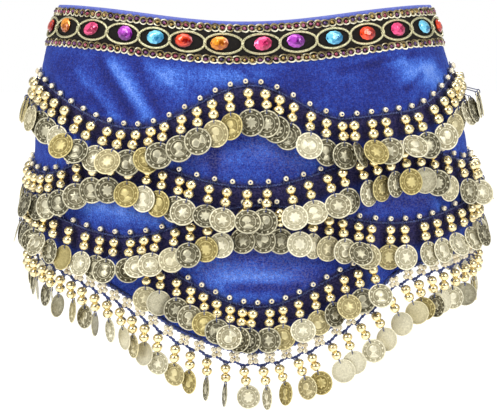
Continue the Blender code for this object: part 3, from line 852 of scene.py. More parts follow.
def under_fringe(turn, depth):
    """How much painted shade lies on the velvet behind the threads of each row."""
    most = np.zeros(np.broadcast(turn, depth).shape)
    uneven = 0.0012 * np.sin(turn * 230) + 0.0010 * np.sin(turn * 97 + 1.3)
    for name, heading in HEADINGS.items():
        drop = depth - heading(turn)
        start, end = ROWS[name][0][0], ROWS[name][-1][0]
        inside = ease((turn - start) / FRINGE_SOFT_END) * ease((end - turn) / FRINGE_SOFT_END)
        top = ease((drop - FRINGE_SHADE_TOP + uneven) / FRINGE_SOFT_TOP)
        bottom = ease((FRINGE_SHADE_BOTTOM - drop) / FRINGE_SOFT_BOTTOM)
        most = np.maximum(most, top * bottom * inside)
    return most * FRINGE_SHADE_MOST


def sheen_and_shade_at(turn, depth):
    """Painted light on the ridges of the folds and creases and painted shade in their troughs, plus bands of
    painted sheen and shade.
    """
    total = relief(FOLDS, turn, depth) / FOLD_SHADE + relief(CREASES, turn, depth) / CREASE_SHADE
    return np.clip(total + relief(SHEEN_BANDS, turn, depth), DARKEST_PAINTED_SHADE, LIGHTEST_PAINTED_SHEEN)


def velvet_wrap():
    turns = np.linspace(-END_TURN, END_TURN, CLOTH_COLUMNS)
    shares = np.linspace(0, 1, CLOTH_ROWS)
    depth, turn = np.meshgrid(shares, turns, indexing="ij")
    depth = depth * hem_depth(turn)
    # Painted shade behind the dangles, on the outer side only
    shade = under_fringe(turn, depth).ravel()
    ripple_along = np.sin(turn * 310 + 5 * np.sin(depth * 160))
    ripple_down = np.sin(depth * 420 + 3 * np.sin(turn * 90))
    ripple = RIPPLE * ripple_along * ripple_down
    from_edge = np.minimum(depth, hem_depth(turn) - depth)
    rounding = -EDGE_ROLL * np.exp(-((from_edge / EDGE_ROLL_DEPTH) ** 2))
    outer = spot(turn, depth, ripple + rounding, fine=True).reshape(-1, 3)
    inner = spot(turn, depth, ripple - rounding - WALL * 0.8, fine=True).reshape(-1, 3)
    count = len(outer)
    quads = grid_faces(CLOTH_ROWS, CLOTH_COLUMNS)
    top = np.arange(CLOTH_COLUMNS)
    bottom = top + (CLOTH_ROWS - 1) * CLOTH_COLUMNS
    left = np.arange(CLOTH_ROWS) * CLOTH_COLUMNS
    right = left + CLOTH_COLUMNS - 1
    rims = []
    for edge, flip in ((top, False), (bottom, True), (left, True), (right, False)):
        rim = np.stack([edge[:-1], edge[1:], edge[1:] + count, edge[:-1] + count], -1)
        rims.append(rim[:, ::-1] if flip else rim)
    both_sides = {
        "cloth_place": flat_place(turn * HALF_GIRTH, depth),
        # Painted light and shade of the folds, creases and bands
        "pile": sheen_and_shade_at(turn, depth).ravel(),
        # Painted rim light along the top edge
        "rim": np.exp(-((depth / RIM_LIGHT_DEPTH) ** 2)).ravel(),
        "worn": (WORN_LEAST + (1 - WORN_LEAST) * np.clip(relief(WORN, turn, depth), 0, 1)).ravel(),
    }
    heap = Heap()
    heap.add(
        np.concatenate([outer, inner]),
        [quads[:, ::-1], quads + count] + rims,
        under_fringe=np.concatenate([shade, shade * 0]),
        **{name: np.concatenate([value, value]) for name, value in both_sides.items()},
    )
    return heap.make("velvet_wrap", VELVET)


wrap = finish_piece(velvet_wrap(), "velvet", "cloth_panel")


# Dangles

HOLE = (0.14, 0.90)
UPPER_BEAD = bead_form(14, 8, 0.20, (0.25, -1.12), HOLE)
LOWER_BEAD = bead_form(14, 8, 0.20, (HOLE[0], -HOLE[1]), HOLE)
SMALL_BEAD_POINTS, SMALL_BEAD_FACES = bead_form(9, 5, 0.38, (0.30, -0.60), (0.30, 0.60))
CLUSTER_BEAD_POINTS, CLUSTER_BEAD_FACES = bead_form(9, 5, 0.22, (0.15, -0.75), (0.15, 0.75))
COIN_SEGMENTS = 30
COIN_DOTS = 11
DOT_PLACE = 0.775
DOT_WIDTH = 0.095
PATCH_FOOT_RUBBED = 0.2
PATCH_TOP_RUBBED = 0.85
PATCH_CROWN = 1.06
COIN_HEIGHT = 0.00040 / 0.0114
COIN_DOME = 0.00030 / 0.0114

# Motifs on the coins, in coin radii: a plain head in profile with its bust, a rosette and a star
HEAD = [
    # x, y
    (0.08, -0.16), (0.12, -0.06), (0.22, -0.05), (0.24, 0.02), (0.30, 0.09), (0.24, 0.18), (0.24, 0.30),
    (0.14, 0.43), (-0.04, 0.49), (-0.22, 0.45), (-0.34, 0.31), (-0.42, 0.16), (-0.36, 0.04), (-0.24, 0.00),
    (-0.20, -0.16),
]
BUST = [
    # x, y
    (0.14, -0.14), (0.20, -0.28), (0.38, -0.38), (0.30, -0.50), (0.00, -0.55), (-0.30, -0.50), (-0.40, -0.38),
    (-0.24, -0.28), (-0.20, -0.14),
]


def petals(count, radius, depth, points):
    """Outline of a rosette, or of a star where there are two points to a petal."""
    angles = round_angles(points)
    size = radius * (1 + depth * np.cos(count * angles))
    return np.stack([size * np.cos(angles), size * np.sin(angles)], -1)


def raised(outline, middle, layers, floor, first):
    """A rounded raised patch: its outline shrunk towards its middle, layer by layer."""
    outline = np.array(outline)[::1 if cross_area(outline) > 0 else -1]
    middle = np.array(middle)
    count = len(outline)
    points = []
    for share, height in layers:
        flat = middle + (outline - middle) * share
        points.append(np.column_stack([flat, np.full(count, floor + height)]))
    points.append(np.array([[middle[0], middle[1], floor + layers[-1][1] * PATCH_CROWN]]))
    faces = [grid_faces(len(layers), count, wrap=True) + first]
    j = np.arange(count)
    last = (len(layers) - 1) * count
    top = np.full(count, len(layers) * count)
    faces.append(np.stack([last + j, last + (j + 1) % count, top], -1) + first)
    return np.concatenate(points), faces


def cross_area(outline):
    x, y = np.array(outline).T
    return float(np.sum(x * np.roll(y, -1) - np.roll(x, -1) * y))


MOTIF_LAYERS = [(1.0, -0.2 * COIN_HEIGHT), (0.93, 0.9 * COIN_HEIGHT), (0.60, 1.45 * COIN_HEIGHT)]
DOT_LAYERS = [(1.0, -0.2 * COIN_HEIGHT), (0.72, 0.9 * COIN_HEIGHT)]
MOTIFS = {
    # name: raised patches, each with its middle
    "head": [(HEAD, (-0.05, 0.20)), (BUST, (0.0, -0.36))],
    "rosette": [(petals(8, 0.40, 0.22, 32), (0.0, 0.0)), (petals(1, 0.13, 0.0, 10), (0.0, 0.0))],
    "star": [(petals(6, 0.36, 0.34, 12), (0.0, 0.0)), (petals(1, 0.15, 0.0, 10), (0.0, 0.0))],
}


def coin_form(motif):
    """One stamped coin of radius 1 about z, front up: rim, ring of dots and a motif."""
    rings = [
        # radius, height in coin heights, how rubbed
        (0.00, 0.0, 0.25),
        (0.30, 0.0, 0.20),
        (0.575, 0.0, 0.10),
        (0.605, 0.9, 0.95),
        (0.635, 0.0, 0.05),
        (0.885, 0.0, 0.05),
        (0.915, 1.2, 1.00),
        (0.975, 1.2, 1.00),
        (1.00, 0.5, 0.85),
        (1.00, -0.7, 0.70),
        (0.96, -1.2, 0.90),
        (0.90, -0.8, 0.30),
        (0.55, -0.8, 0.55),
        (0.00, -0.8, 0.50),
    ]
    points, rubbed = [], []
    for radius, height, rub in rings:
        dome = COIN_DOME * (1 - radius**2)
        points.append(oval(COIN_SEGMENTS, radius, radius, height * COIN_HEIGHT + dome))
        rubbed.append(np.full(COIN_SEGMENTS, rub))
    points, rubbed = [np.concatenate(points)], [np.concatenate(rubbed)]
    faces = [grid_faces(len(rings), COIN_SEGMENTS, wrap=True)]
    patches = [(outline, middle, MOTIF_LAYERS) for outline, middle in MOTIFS[motif]]
    for i in range(COIN_DOTS):
        angle = (i + 0.5) * 2 * math.pi / COIN_DOTS
        middle = np.array([math.cos(angle), math.sin(angle)]) * DOT_PLACE
        patches.append((petals(1, DOT_WIDTH, 0.0, 6) + middle, middle, DOT_LAYERS))
    for outline, middle, layers in patches:
        floor = COIN_DOME * (1 - np.hypot(*middle) ** 2)
        first = sum(len(part) for part in points)
        more, more_faces = raised(outline, middle, layers, floor, first)
        points.append(more)
        faces += more_faces
        rubbed.append(np.full(len(outline), PATCH_FOOT_RUBBED))
        rubbed.append(np.full(len(more) - len(outline), PATCH_TOP_RUBBED))
    return np.concatenate(points), faces, np.concatenate(rubbed)


COINS = [coin_form("head"), coin_form("rosette"), coin_form("head"), coin_form("star")]
COIN_GAP = 0.0011
BEAD_GAP = COIN_GAP * 0.6
EDGE_ON = 0.2
COIN_THREAD_END = 0.0022
BELOW_HEM_ROOM = 0.0035
TOUCH_CLEAR = 0.0004


def turned(turn, yaw, roll, lean):
    """A hanging coin's own axes: across, up and out."""
    side, out = along(turn), outward(turn)
    x = side * math.cos(yaw) + out * math.sin(yaw)
    z = out * math.cos(yaw) - side * math.sin(yaw)
    x, y = x * math.cos(roll) + UP * math.sin(roll), UP * math.cos(roll) - x * math.sin(roll)
    y, z = y * math.cos(lean) + z * math.sin(lean), z * math.cos(lean) - y * math.sin(lean)
    return np.array([x, y, z])


TEST_RINGS = [oval(16, radius, radius, 0.0) for radius in (0.35, 0.70, 1.00)]
TEST_POINTS = np.concatenate([np.zeros((1, 3)), *TEST_RINGS])


class Pile:
    """What already hangs on the cloth, for the next coin to lie on."""

    def __init__(self):
        self.discs = []
        self.balls = []

    def lift_for(self, points, out, reach):
        """Least move outwards that takes a coin's points clear of all that is near."""
        middle = points[0]
        most = 0.0
        for place, normal, radius in self.discs:
            facing = float(out @ normal)
            if np.linalg.norm(place - middle) > radius + reach or abs(facing) < EDGE_ON:
                continue
            steps = (place - points) @ normal / facing
            hits = points + steps[:, None] * out
            inside = np.linalg.norm(hits - place, axis=1) < radius
            if inside.any():
                most = max(most, float(steps[inside].max()) + COIN_GAP)
        for place, radius in self.balls:
            if np.linalg.norm(place - middle) > radius + reach:
                continue
            offset = place - points
            ahead = offset @ out
            aside = np.sqrt(np.maximum((offset**2).sum(1) - ahead**2, 0))
            touched = aside < radius
            if touched.any():
                steps = ahead[touched] + np.sqrt(radius**2 - aside[touched] ** 2)
                most = max(most, float(steps.max()) + BEAD_GAP)
        return most


PILE_UP = Pile()
LIFT_GOOD = 0.0035
SIDE_SPREAD = 0.10
SIDE_CALM = 0.65
SETTLED_FROM = 0.24
SETTLED_TO = 0.50
SETTLED_SHARE = 0.25
# Power on a coin's random tone: the smaller it is, the more coins are pale
PALER = {"coin_row_1": 1.15, "coin_row_2": 0.95, "coin_row_3": 0.70, "coin_row_4": 0.70, "hem": 1.0}
# Share of its yaw and degrees of further lean that a coin tries in turn until it lies close
YAW_TRIES = ((1.0, 0.0), (1.0, -8.0), (0.5, -8.0), (0.5, -15.0), (0.2, -15.0))
YAW_KINDS = [
    # share of the coins up to this kind, least and most degrees that they swing round
    (0.740, 8, 20),
    (0.965, 22, 40),
    (1.000, 45, 66),
]
COIN_LEANS = (-7, 5)
SPUN_SHARE = 0.4
SPIN_SPREAD = 0.35
MARKS_SHIFT = 7.0
RUN_LENGTHS = (3, 7)
LAST_OF_RUN_YAW = 0.25
BACK_SHARE = 0.05
LEAN_JITTER = 2.0
ROLL_SHARE = 0.9
COIN_LIFT = 0.5
BEAD_LIFTS = (0.15, 0.40)
BEAD_SIZES = (0.97, 1.03)
BEAD_SINK = 0.0004
BEAD_JITTER = 0.0002
THREAD_START_OUT = 0.0016
SLIDE_WAVE = 0.22
SLIDE_JITTER = 0.12
LOOP_STEPS = 10
LOOP_HALF_HEIGHT = 0.0021
LOOP_HALF_DEPTH = 0.0011
LOOP_RISE = 0.0006
LOOP_THREAD = THREAD_RADIUS * 1.15
PICOT_THREAD = THREAD_RADIUS * 1.5
SMALL_BEAD_RISE = 0.0004
STITCH_SWELL = 0.30
HEADING_WOBBLE = 0.0005
FIRST_ROW_SEED = 11


class Row:
    """Heaps for the pieces of one row of dangles."""

    def __init__(self):
        self.coins, self.beads, self.small, self.threads = Heap(), Heap(), Heap(), Heap()

    def finish(self, name, small_name, node):
        finish_piece(self.coins.make(f"{name}_coins", BRASS), "antique_brass", node)
        finish_piece(self.beads.make(f"{name}_beads", GOLD_BEAD), "gold_bead")
        finish_piece(self.small.make(f"{name}_{small_name}", PALE_BEAD), "gold_bead")
        finish_piece(self.threads.make(f"{name}_threads", BLUE_THREAD), "crochet_thread")


class Dangle:
    """Two beads and a coin on a thread, hung from one place of a heading."""

    def __init__(self, name, turn, depth, swing, lift, yaw, rng, tone=None, flip=False):
        _, drop_1, drop_2, coin_top, self.radius, self.bead_radius, self.bead_height = DANGLES[name]
        self.turn, self.depth, self.swing, self.lift, self.yaw = turn, depth, swing, lift, yaw
        self.drops = (drop_1, drop_2)
        self.hole_drop = coin_top + COIN_HOLE_INSET
        rise = min(lift * 0.6 / (1.3 * self.radius), 0.5)
        self.lean = math.radians(rng.uniform(*COIN_LEANS)) - math.asin(rise)
        self.spin = rng.uniform(0, 2 * math.pi) if rng.random() < SPUN_SHARE else rng.gauss(0, SPIN_SPREAD)
        self.kind = rng.randrange(len(COINS))
        self.tone = rng.random() ** PALER[name] if tone is None else tone
        self.flip = flip
        self.jitter = [rng.uniform(-BEAD_JITTER, BEAD_JITTER) for _ in range(2)]
        self.line = [self.at(CHAIN_DROP * 0.6, THREAD_START_OUT)]

    def at(self, drop, out):
        """Place of a drop along the leaning dangle, with its distance out of the cloth."""
        turn = self.turn + drop * math.sin(self.swing) / HALF_GIRTH
        return spot(turn, self.depth + drop * math.cos(self.swing), out)

    def hang_beads(self, row, rng):
        stand = CLOTH_CLEAR + self.bead_radius - BEAD_SINK
        down = self.at(self.drops[1], 0) - self.at(self.drops[0], 0)
        down /= np.linalg.norm(down)
        side = np.cross(down, outward(self.turn))
        side /= np.linalg.norm(side)
        axes = np.array([side, np.cross(down, side), -down])
        beads = zip((UPPER_BEAD, LOWER_BEAD), self.drops, self.jitter, BEAD_LIFTS)
        for (bead, bead_faces), drop, shake, share in beads:
            centre = self.at(drop + shake, stand + self.lift * share)
            size = rng.uniform(*BEAD_SIZES)
            form = bead * np.array([self.bead_radius, self.bead_radius, self.bead_height]) * size
            row.beads.add(placed(form, centre, axes), bead_faces)
            PILE_UP.balls.append((centre, self.bead_radius))
            self.line.append(centre)

    def hang_coin(self, row, over_cloth):
        out = outward(self.turn)
        best = None
        for share, more in YAW_TRIES if over_cloth else YAW_TRIES[:1]:
            lean = self.lean + math.radians(more)
            axes = turned(self.turn, self.yaw * share, self.swing * ROLL_SHARE, lean)
            hole = self.at(self.hole_drop, CLOTH_CLEAR + self.lift * COIN_LIFT)
            centre = hole - axes[1] * (self.radius - COIN_HOLE_INSET)
            points = centre + self.radius * TEST_POINTS @ axes
            behind = float(((points - hole) @ out).min()) + self.lift * COIN_LIFT
            room = 0.0 if over_cloth else BELOW_HEM_ROOM
            extra = max(0.0, -behind - room + TOUCH_CLEAR)
            extra = max(extra, PILE_UP.lift_for(points, out, self.radius))
            if best is None or extra < best[0]:
                best = (extra, axes, hole, centre)
            if extra < LIFT_GOOD:
                break
        extra, axes, hole, centre = best
        hole = hole + out * extra
        centre = centre + out * extra
        PILE_UP.discs.append((centre, axes[2], self.radius))
        form, faces, rubbed = COINS[self.kind]
        cos, sin = math.cos(self.spin), math.sin(self.spin)
        own = form @ np.array([[cos, sin, 0], [-sin, cos, 0], [0, 0, 1]])
        if self.flip:
            own = own * np.array([-1.0, 1.0, -1.0])
        row.coins.add(
            placed(own, centre, axes, self.radius), faces,
            relief=rubbed, tone=self.tone, coin_place=form + self.tone * MARKS_SHIFT,
        )
        self.line.append(hole + axes[1] * COIN_THREAD_END)
        tube(row.threads, self.line, THREAD_RADIUS, sides=4)
        angles = round_angles(LOOP_STEPS)
        rise = axes[1] * np.sin(angles)[:, None] * LOOP_HALF_HEIGHT
        loop = rise + axes[2] * np.cos(angles)[:, None] * LOOP_HALF_DEPTH
        tube(row.threads, hole + axes[1] * LOOP_RISE + loop, LOOP_THREAD, sides=4, closed=True)


def dangle_turns(start, end, pitch):
    count = round((end - start) * HALF_GIRTH / pitch)
    return [start + (end - start) * (i + 0.5) / count for i in range(count)]


def chain(row, turns, depths, out, radius, wobble):
    """Crochet chain: a knotted cord whose thickness swells at each stitch."""
    phase = np.arange(len(turns)) * 2 * np.pi / 3
    centres = spot(turns, depths + wobble * np.sin(phase), out)
    tube(row.threads, centres, radius * (1 + STITCH_SWELL * np.cos(phase)), sides=6)


def lift_at(depth, below):
    share = (LIFT_NO_GAP - (below - depth)) / (LIFT_NO_GAP - LIFT_FULL_GAP)
    return LIFT * min(max(share, 0.0), 1.0)


def depth_below(name, turn):
    """Depth of the heading that hangs next under a row."""
    order = list(ROWS)
    for other in order[order.index(name) + 1:][:1]:
        start, end = ROWS[other][0][0], ROWS[other][-1][0]
        if start - ROW_END_MARGIN <= turn <= end + ROW_END_MARGIN:
            return float(HEADINGS[other](turn))
    return float(hem_depth(turn))


def lean_at(name, turn, rng):
    turns, degrees = zip(*LEANS[name])
    return math.radians(float(np.interp(turn, turns, degrees)) + rng.gauss(0, LEAN_JITTER))


def yaw_runs(count, rng):
    """Yaws of a row's coins, in runs that lie on each other one way, and the order to lay them."""
    yaws, order, flats = [], [], []
    sign = rng.choice((-1, 1))
    while len(yaws) < count:
        length = min(rng.randint(*RUN_LENGTHS), count - len(yaws))
        run = range(len(yaws), len(yaws) + length)
        for _ in run:
            pick = rng.random()
            least, most = next((least, most) for share, least, most in YAW_KINDS if pick < share)
            yaws.append(math.radians(sign * rng.uniform(least, most)))
        yaws[run[-1]] *= LAST_OF_RUN_YAW
        flats.append(run[-1])
        inner = list(run[:-1])
        order += inner[::-1] if sign > 0 else inner
        sign = -sign
    return yaws, order + flats


def calm_at(turn):
    """How much of its lift and swing a coin keeps: less where the body turns away at its sides."""
    return 1 - SIDE_CALM * math.exp(-(((abs(turn) - 0.5) / SIDE_SPREAD) ** 2))


def settled(turn, yaw):
    """Near the sides of the near half, coins that would turn away from it lie almost flat instead."""
    turns_away = yaw * turn < 0 and SETTLED_FROM < abs(turn) < SETTLED_TO
    return yaw * SETTLED_SHARE if turns_away else yaw


HOLE_ENDS = (-1.0, 0.86, 0.90)
HOLE_TIP = 0.00005


def edge_bead(row, turn, depth):
    """A small bead on a heading's upper edge, with its dark thread hole."""
    tilt = upright(turn)
    centre = spot(turn, depth - SMALL_BEAD_RISE, THREAD_OUT + SMALL_BEAD_RADIUS)
    row.small.add(placed(SMALL_BEAD_POINTS, centre, tilt, SMALL_BEAD_RADIUS), SMALL_BEAD_FACES)
    PILE_UP.balls.append((centre, SMALL_BEAD_RADIUS))
    core = [centre - tilt[2] * SMALL_BEAD_RADIUS * share for share in HOLE_ENDS]
    tube(row.threads, core, np.array([SMALL_BEAD_HOLE, SMALL_BEAD_HOLE, HOLE_TIP]), sides=6)


PICOT = [
    # turn from the bead's, drop, distance out of the cloth
    (-0.0030, CHAIN_DROP, THREAD_OUT),
    (-0.0045, -0.0004, 0.0014),
    (0.0000, -0.0029, 0.0014),
    (0.0045, -0.0004, 0.0014),
    (0.0030, CHAIN_DROP, THREAD_OUT),
]


def coin_row(name, seed):
    rng = random.Random(seed)
    heading = HEADINGS[name]
    start = max(ROWS[name][0][0], -END_TURN)
    end = min(ROWS[name][-1][0], END_TURN)
    pitch = DANGLES[name][0]
    row = Row()
    turns = dangle_turns(start, end, pitch)
    yaws, order = yaw_runs(len(turns), rng)
    drift = rng.uniform(0, 6)
    dangles = []
    for turn, yaw in zip(turns, yaws):
        depth = float(heading(turn))
        edge_bead(row, turn, depth)
        slide = SLIDE_WAVE * math.sin(turn * 21 + drift) + rng.uniform(-SLIDE_JITTER, SLIDE_JITTER)
        hung = min(max(turn + slide * pitch / HALF_GIRTH, start), end)
        hung_depth = float(heading(hung))
        calm = calm_at(hung)
        lift = lift_at(hung_depth, depth_below(name, hung)) * calm
        flip = rng.random() < BACK_SHARE
        lean = lean_at(name, hung, rng)
        dangle = Dangle(name, hung, hung_depth, lean, lift, settled(hung, yaw) * calm, rng, flip=flip)
        dangle.hang_beads(row, rng)
        dangles.append(dangle)
        picot = [spot(turn + shift, depth + drop, out) for shift, drop, out in PICOT]
        tube(row.threads, picot, PICOT_THREAD, sides=4)
    for number in order:
        dangles[number].hang_coin(row, True)
    line = np.linspace(start, end, int((end - start) * HALF_GIRTH / STITCH))
    chain(row, line, heading(line) + CHAIN_DROP, THREAD_OUT, CHAIN_RADIUS, HEADING_WOBBLE)
    row.finish(name, "small_beads", name)


# Hem lattice

NEAR_HEM = [
    # turn of a near side dangle, degrees that its coin has swung round, tone, smooth back to the front
    (-0.3970, 8, 0.20, False),
    (-0.3730, 36, 0.78, True),
    (-0.3490, 78, 0.40, False),
    (-0.3250, 34, 0.88, False),
    (-0.3010, 14, 0.52, False),
    (-0.2770, 74, 0.35, False),
    (-0.2530, 38, 0.80, False),
    (-0.2295, 36, 0.82, True),
    (-0.2060, 42, 0.88, False),
    (-0.1825, 24, 0.76, True),
    (-0.1590, 10, 0.74, False),
    (-0.1290, 20, 0.90, False),
    (-0.1040, 44, 0.95, False),
    (-0.0770, 68, 0.35, False),
    (-0.0455, 75, 0.35, False),
    (-0.0160, 12, 0.74, False),
    (0.0160, 68, 0.60, False),
    (0.0410, 60, 0.97, False),
    (0.0720, 46, 0.88, False),
    (0.0955, 28, 0.97, False),
    (0.1290, 12, 0.74, True),
    (0.1560, 20, 0.76, True),
    (0.1770, 30, 0.74, False),
    (0.2035, 50, 0.78, True),
    (0.2320, 46, 0.80, True),
    (0.2600, 40, 0.86, True),
    (0.2880, 44, 0.92, False),
    (0.3160, 78, 0.45, False),
    (0.3440, 10, 0.76, True),
    (0.3720, 24, 0.72, False),
    (0.4000, 52, 0.40, True),
]
LOOSE_YAWS = (10, 16, 24, 30, 44, 60, 72)
LOOSE_RIGHT_SHARE = 0.8
LOOSE_BACK_SHARE = 0.3
CLUSTER_SPIN = 0.25
RUNG_SEWN_IN = 0.002
RUNG_SEWN_OUT = 0.0006
RUNG_BEND = 0.003
RUNG_BEHIND = 0.0016
RUNG_THREAD = THREAD_RADIUS * 1.2
EYE_HALF_WIDTH = 0.0016
EYE_HALF_HEIGHT = 0.0017
EYE_DROP = 0.0006
EYE_THREAD = THREAD_RADIUS * 1.6
LOWER_CHAIN_RADIUS = CHAIN_RADIUS * 1.8
EDGE_CHAIN_RADIUS = CHAIN_RADIUS * 2.6
LOWER_WOBBLE = 0.0003
EDGE_WOBBLE = 0.0002
EDGE_OUT = 0.0004
HEM_SEED = 29


def hem_dangles(rng):
    """Turn, yaw, tone and side of each hem coin: as seen on the near side, loose elsewhere."""
    step = DANGLES["hem"][0] / HALF_GIRTH
    first, last = NEAR_HEM[0][0], NEAR_HEM[-1][0]
    turns = [first - step * (i + 1) for i in range(int((first + END_TURN - step * 0.5) / step))]
    turns += [last + step * (i + 1) for i in range(int((END_TURN - last - step * 0.5) / step))]
    loose = []
    for turn in turns:
        yaw = rng.choice(LOOSE_YAWS) * (1 if rng.random() < LOOSE_RIGHT_SHARE else -1) * calm_at(turn)
        loose.append((turn, yaw, rng.random(), rng.random() < LOOSE_BACK_SHARE))
    return sorted(loose + NEAR_HEM)


def bead_cluster(row, rung, rng):
    """Four beads in a square on a thread from the hem down to the lower thread."""
    depth = float(hem_depth(rung))
    axes = upright(rung)
    middle = spot(rung, depth + CLUSTER_DROP, THREAD_OUT)
    spin = rng.uniform(-CLUSTER_SPIN, CLUSTER_SPIN)
    for i in range(4):
        angle = spin + (i + 0.5) * math.pi / 2
        centre = middle + (axes[0] * math.cos(angle) + UP * math.sin(angle)) * CLUSTER_SPREAD
        row.small.add(placed(CLUSTER_BEAD_POINTS, centre, axes, CLUSTER_BEAD_RADIUS), CLUSTER_BEAD_FACES)
        PILE_UP.balls.append((centre, CLUSTER_BEAD_RADIUS))
    top = spot(rung, depth - RUNG_SEWN_IN, RUNG_SEWN_OUT)
    low = spot(rung, depth + LOWER_THREAD_DROP, THREAD_OUT)
    behind = middle + axes[2] * RUNG_BEHIND
    line = [top, behind + UP * RUNG_BEND, behind, behind - UP * RUNG_BEND, low]
    tube(row.threads, line, RUNG_THREAD, sides=4)


def hem_lattice():
    rng = random.Random(HEM_SEED)
    row = Row()
    places = hem_dangles(rng)
    turns = [place[0] for place in places]
    ends = [-END_TURN] + turns + [END_TURN]
    rungs = [(a + b) / 2 for a, b in zip(ends[:-1], ends[1:])]
    for rung in rungs:
        bead_cluster(row, rung, rng)
    dangles = []
    angles = round_angles(LOOP_STEPS)
    for turn, degrees, tone, flip in places:
        dip = float(hem_depth(turn)) + LOWER_THREAD_DROP + LOWER_THREAD_DIP
        lean = lean_at("hem", turn, rng)
        dangle = Dangle("hem", turn, dip, lean, 0.0, math.radians(degrees), rng, tone, flip)
        dangle.line[0] = spot(turn, dip, THREAD_OUT)
        dangle.hang_beads(row, rng)
        dangles.append(dangle)
        eye_turns = turn + EYE_HALF_WIDTH * np.cos(angles) / HALF_GIRTH
        eye = spot(eye_turns, dip + EYE_DROP - EYE_HALF_HEIGHT * np.sin(angles), THREAD_OUT)
        tube(row.threads, eye, EYE_THREAD, sides=5, closed=True)
    for dangle in dangles[::-1]:
        dangle.hang_coin(row, False)
    knots = np.array(sorted(rungs + turns))
    line = np.linspace(knots[0], knots[-1], int(1.96 * HALF_GIRTH / STITCH))
    dips = 0.5 - 0.5 * np.cos(np.pi * np.interp(line, knots, np.arange(len(knots))))
    depths = hem_depth(line) + LOWER_THREAD_DROP + LOWER_THREAD_DIP * dips
    chain(row, line, depths, THREAD_OUT, LOWER_CHAIN_RADIUS, LOWER_WOBBLE)
    edge = np.linspace(-END_TURN, END_TURN, int(1.98 * HALF_GIRTH / EDGE_STITCH))
    chain(row, edge, hem_depth(edge), EDGE_OUT, EDGE_CHAIN_RADIUS, EDGE_WOBBLE)
    row.finish("hem_lattice", "clusters", "hem_lattice_fringe")


# Each row lies on the rows below it, so the lowest is hung first
hem_lattice()
for row_number, row_name in reversed(list(enumerate(ROWS))):
    coin_row(row_name, FIRST_ROW_SEED + row_number)

# Trim on the waistband

RIBBON_COLUMNS = 560
BED_COLUMNS = 300
BED_LOW = 0.0002
BED_HIGH = 0.0006
BAND_ROUNDING = 0.0003


def band(name, top, bottom, low, high, columns):
    """A thin woven band round the waist with softened edges."""
    turns = np.linspace(-END_TURN, END_TURN, columns)
    middle = (low + high) / 2
    section = [
        # depth, distance out
        (top + BAND_ROUNDING, low),
        (top, middle),
        (top + BAND_ROUNDING, high),
        ((top + bottom) / 2, high),
        (bottom - BAND_ROUNDING, high),
        (bottom, middle),
        (bottom - BAND_ROUNDING, low),
    ]
    points = [spot(turns, depth, out) for depth, out in section]
    places = [flat_place(turns * HALF_GIRTH, depth) for depth, _ in section]
    heap = Heap()
    faces = [grid_faces(len(section), columns)[:, ::-1]]
    heap.add(np.concatenate(points), faces, cloth_place=np.concatenate(places))
    return heap.make(name, RIBBON)


def gem_turn(number):
    return (number - GEMS / 2 + 0.5) * 2 / GEMS


def trim_shift(turn):
    """How far along the ribbon, in turns, the ovals sit from even places."""
    turns, shifts = zip(*TRIM_SHIFT)
    return np.interp(turn, turns, shifts) / HALF_GIRTH


SLOPE_REACH = 0.004


def slope_up(turn, depth):
    """Unit vector up the cloth at the waistband."""
    rise = spot(turn, depth - SLOPE_REACH) - spot(turn, depth + SLOPE_REACH)
    return rise / np.linalg.norm(rise)


FRAME_STEPS = 36
FRAME_END_ROOM = 0.001
FRAME_OUT = RIBBON_HIGH + FRAME_CORD * 0.8
FRAME_WOUND = 0.10
CROSSING_HEIGHT = FRAME_CORD * 0.9
CROSSING_WIDTH = 0.35
KNOT_SHIFTS = (-0.0007, 0.0007)
KNOT_HALF_HEIGHT = 0.0021
KNOT_HALF_DEPTH = 0.0013
KNOT_OUT = FRAME_OUT + 0.0002
KNOT_CORD = FRAME_CORD * 0.62


def oval_frames():
    """Two gold cords that part round each stone and cross between them, as a chain of ovals."""
    heap = Heap()
    steps = GEMS * FRAME_STEPS
    share = np.linspace(0, GEMS, steps + 1)
    turns = share * 2 / GEMS - 1
    turns = np.clip(turns + trim_shift(turns), -END_TURN + FRAME_END_ROOM, END_TURN - FRAME_END_ROOM)
    wave = np.sin(np.pi * share)
    spread = np.sign(wave) * np.abs(wave) ** FRAME_FULLNESS
    wound = 1 + FRAME_WOUND * np.cos(np.arange(steps + 1) * np.pi)
    for sign in (1, -1):
        crossing = np.exp(-((spread / CROSSING_WIDTH) ** 2))
        over = CROSSING_HEIGHT * sign * np.cos(np.pi * share) * crossing
        outs = FRAME_OUT + np.maximum(over, 0)
        centres = spot(turns, GEM_DEPTH - sign * FRAME_HALF_HEIGHT * spread, outs)
        tube(heap, centres, FRAME_CORD * wound, sides=7)
    angles = round_angles(12)
    for number in range(1, GEMS):
        knot_turn = number * 2 / GEMS - 1
        knot_turn += trim_shift(knot_turn)
        for shift in KNOT_SHIFTS:
            depths = GEM_DEPTH + KNOT_HALF_HEIGHT * np.sin(angles)
            outs = KNOT_OUT + KNOT_HALF_DEPTH * np.cos(angles)
            ring = spot(knot_turn + shift / HALF_GIRTH, depths, outs)
            tube(heap, ring, KNOT_CORD, sides=5, closed=True)
    return heap.make("oval_frames", GOLD_CORD)


GEM_FACETS = 10
GEM_LIFT = 0.0002
# Tone of the drill-hole mouths at the stone's ends, below the deepest facet: painted shade in the holes
HOLE_FACET = -0.6
FACET_TONE = 0.45
FACET_SWING = 0.40
FACET_LIGHT_ANGLE = 0.6
FACET_JITTER = 0.3
MOUTH_HEIGHT = 0.0016
MOUTH_PLACE = 0.84
MOUTH_RADIUS = 0.0008


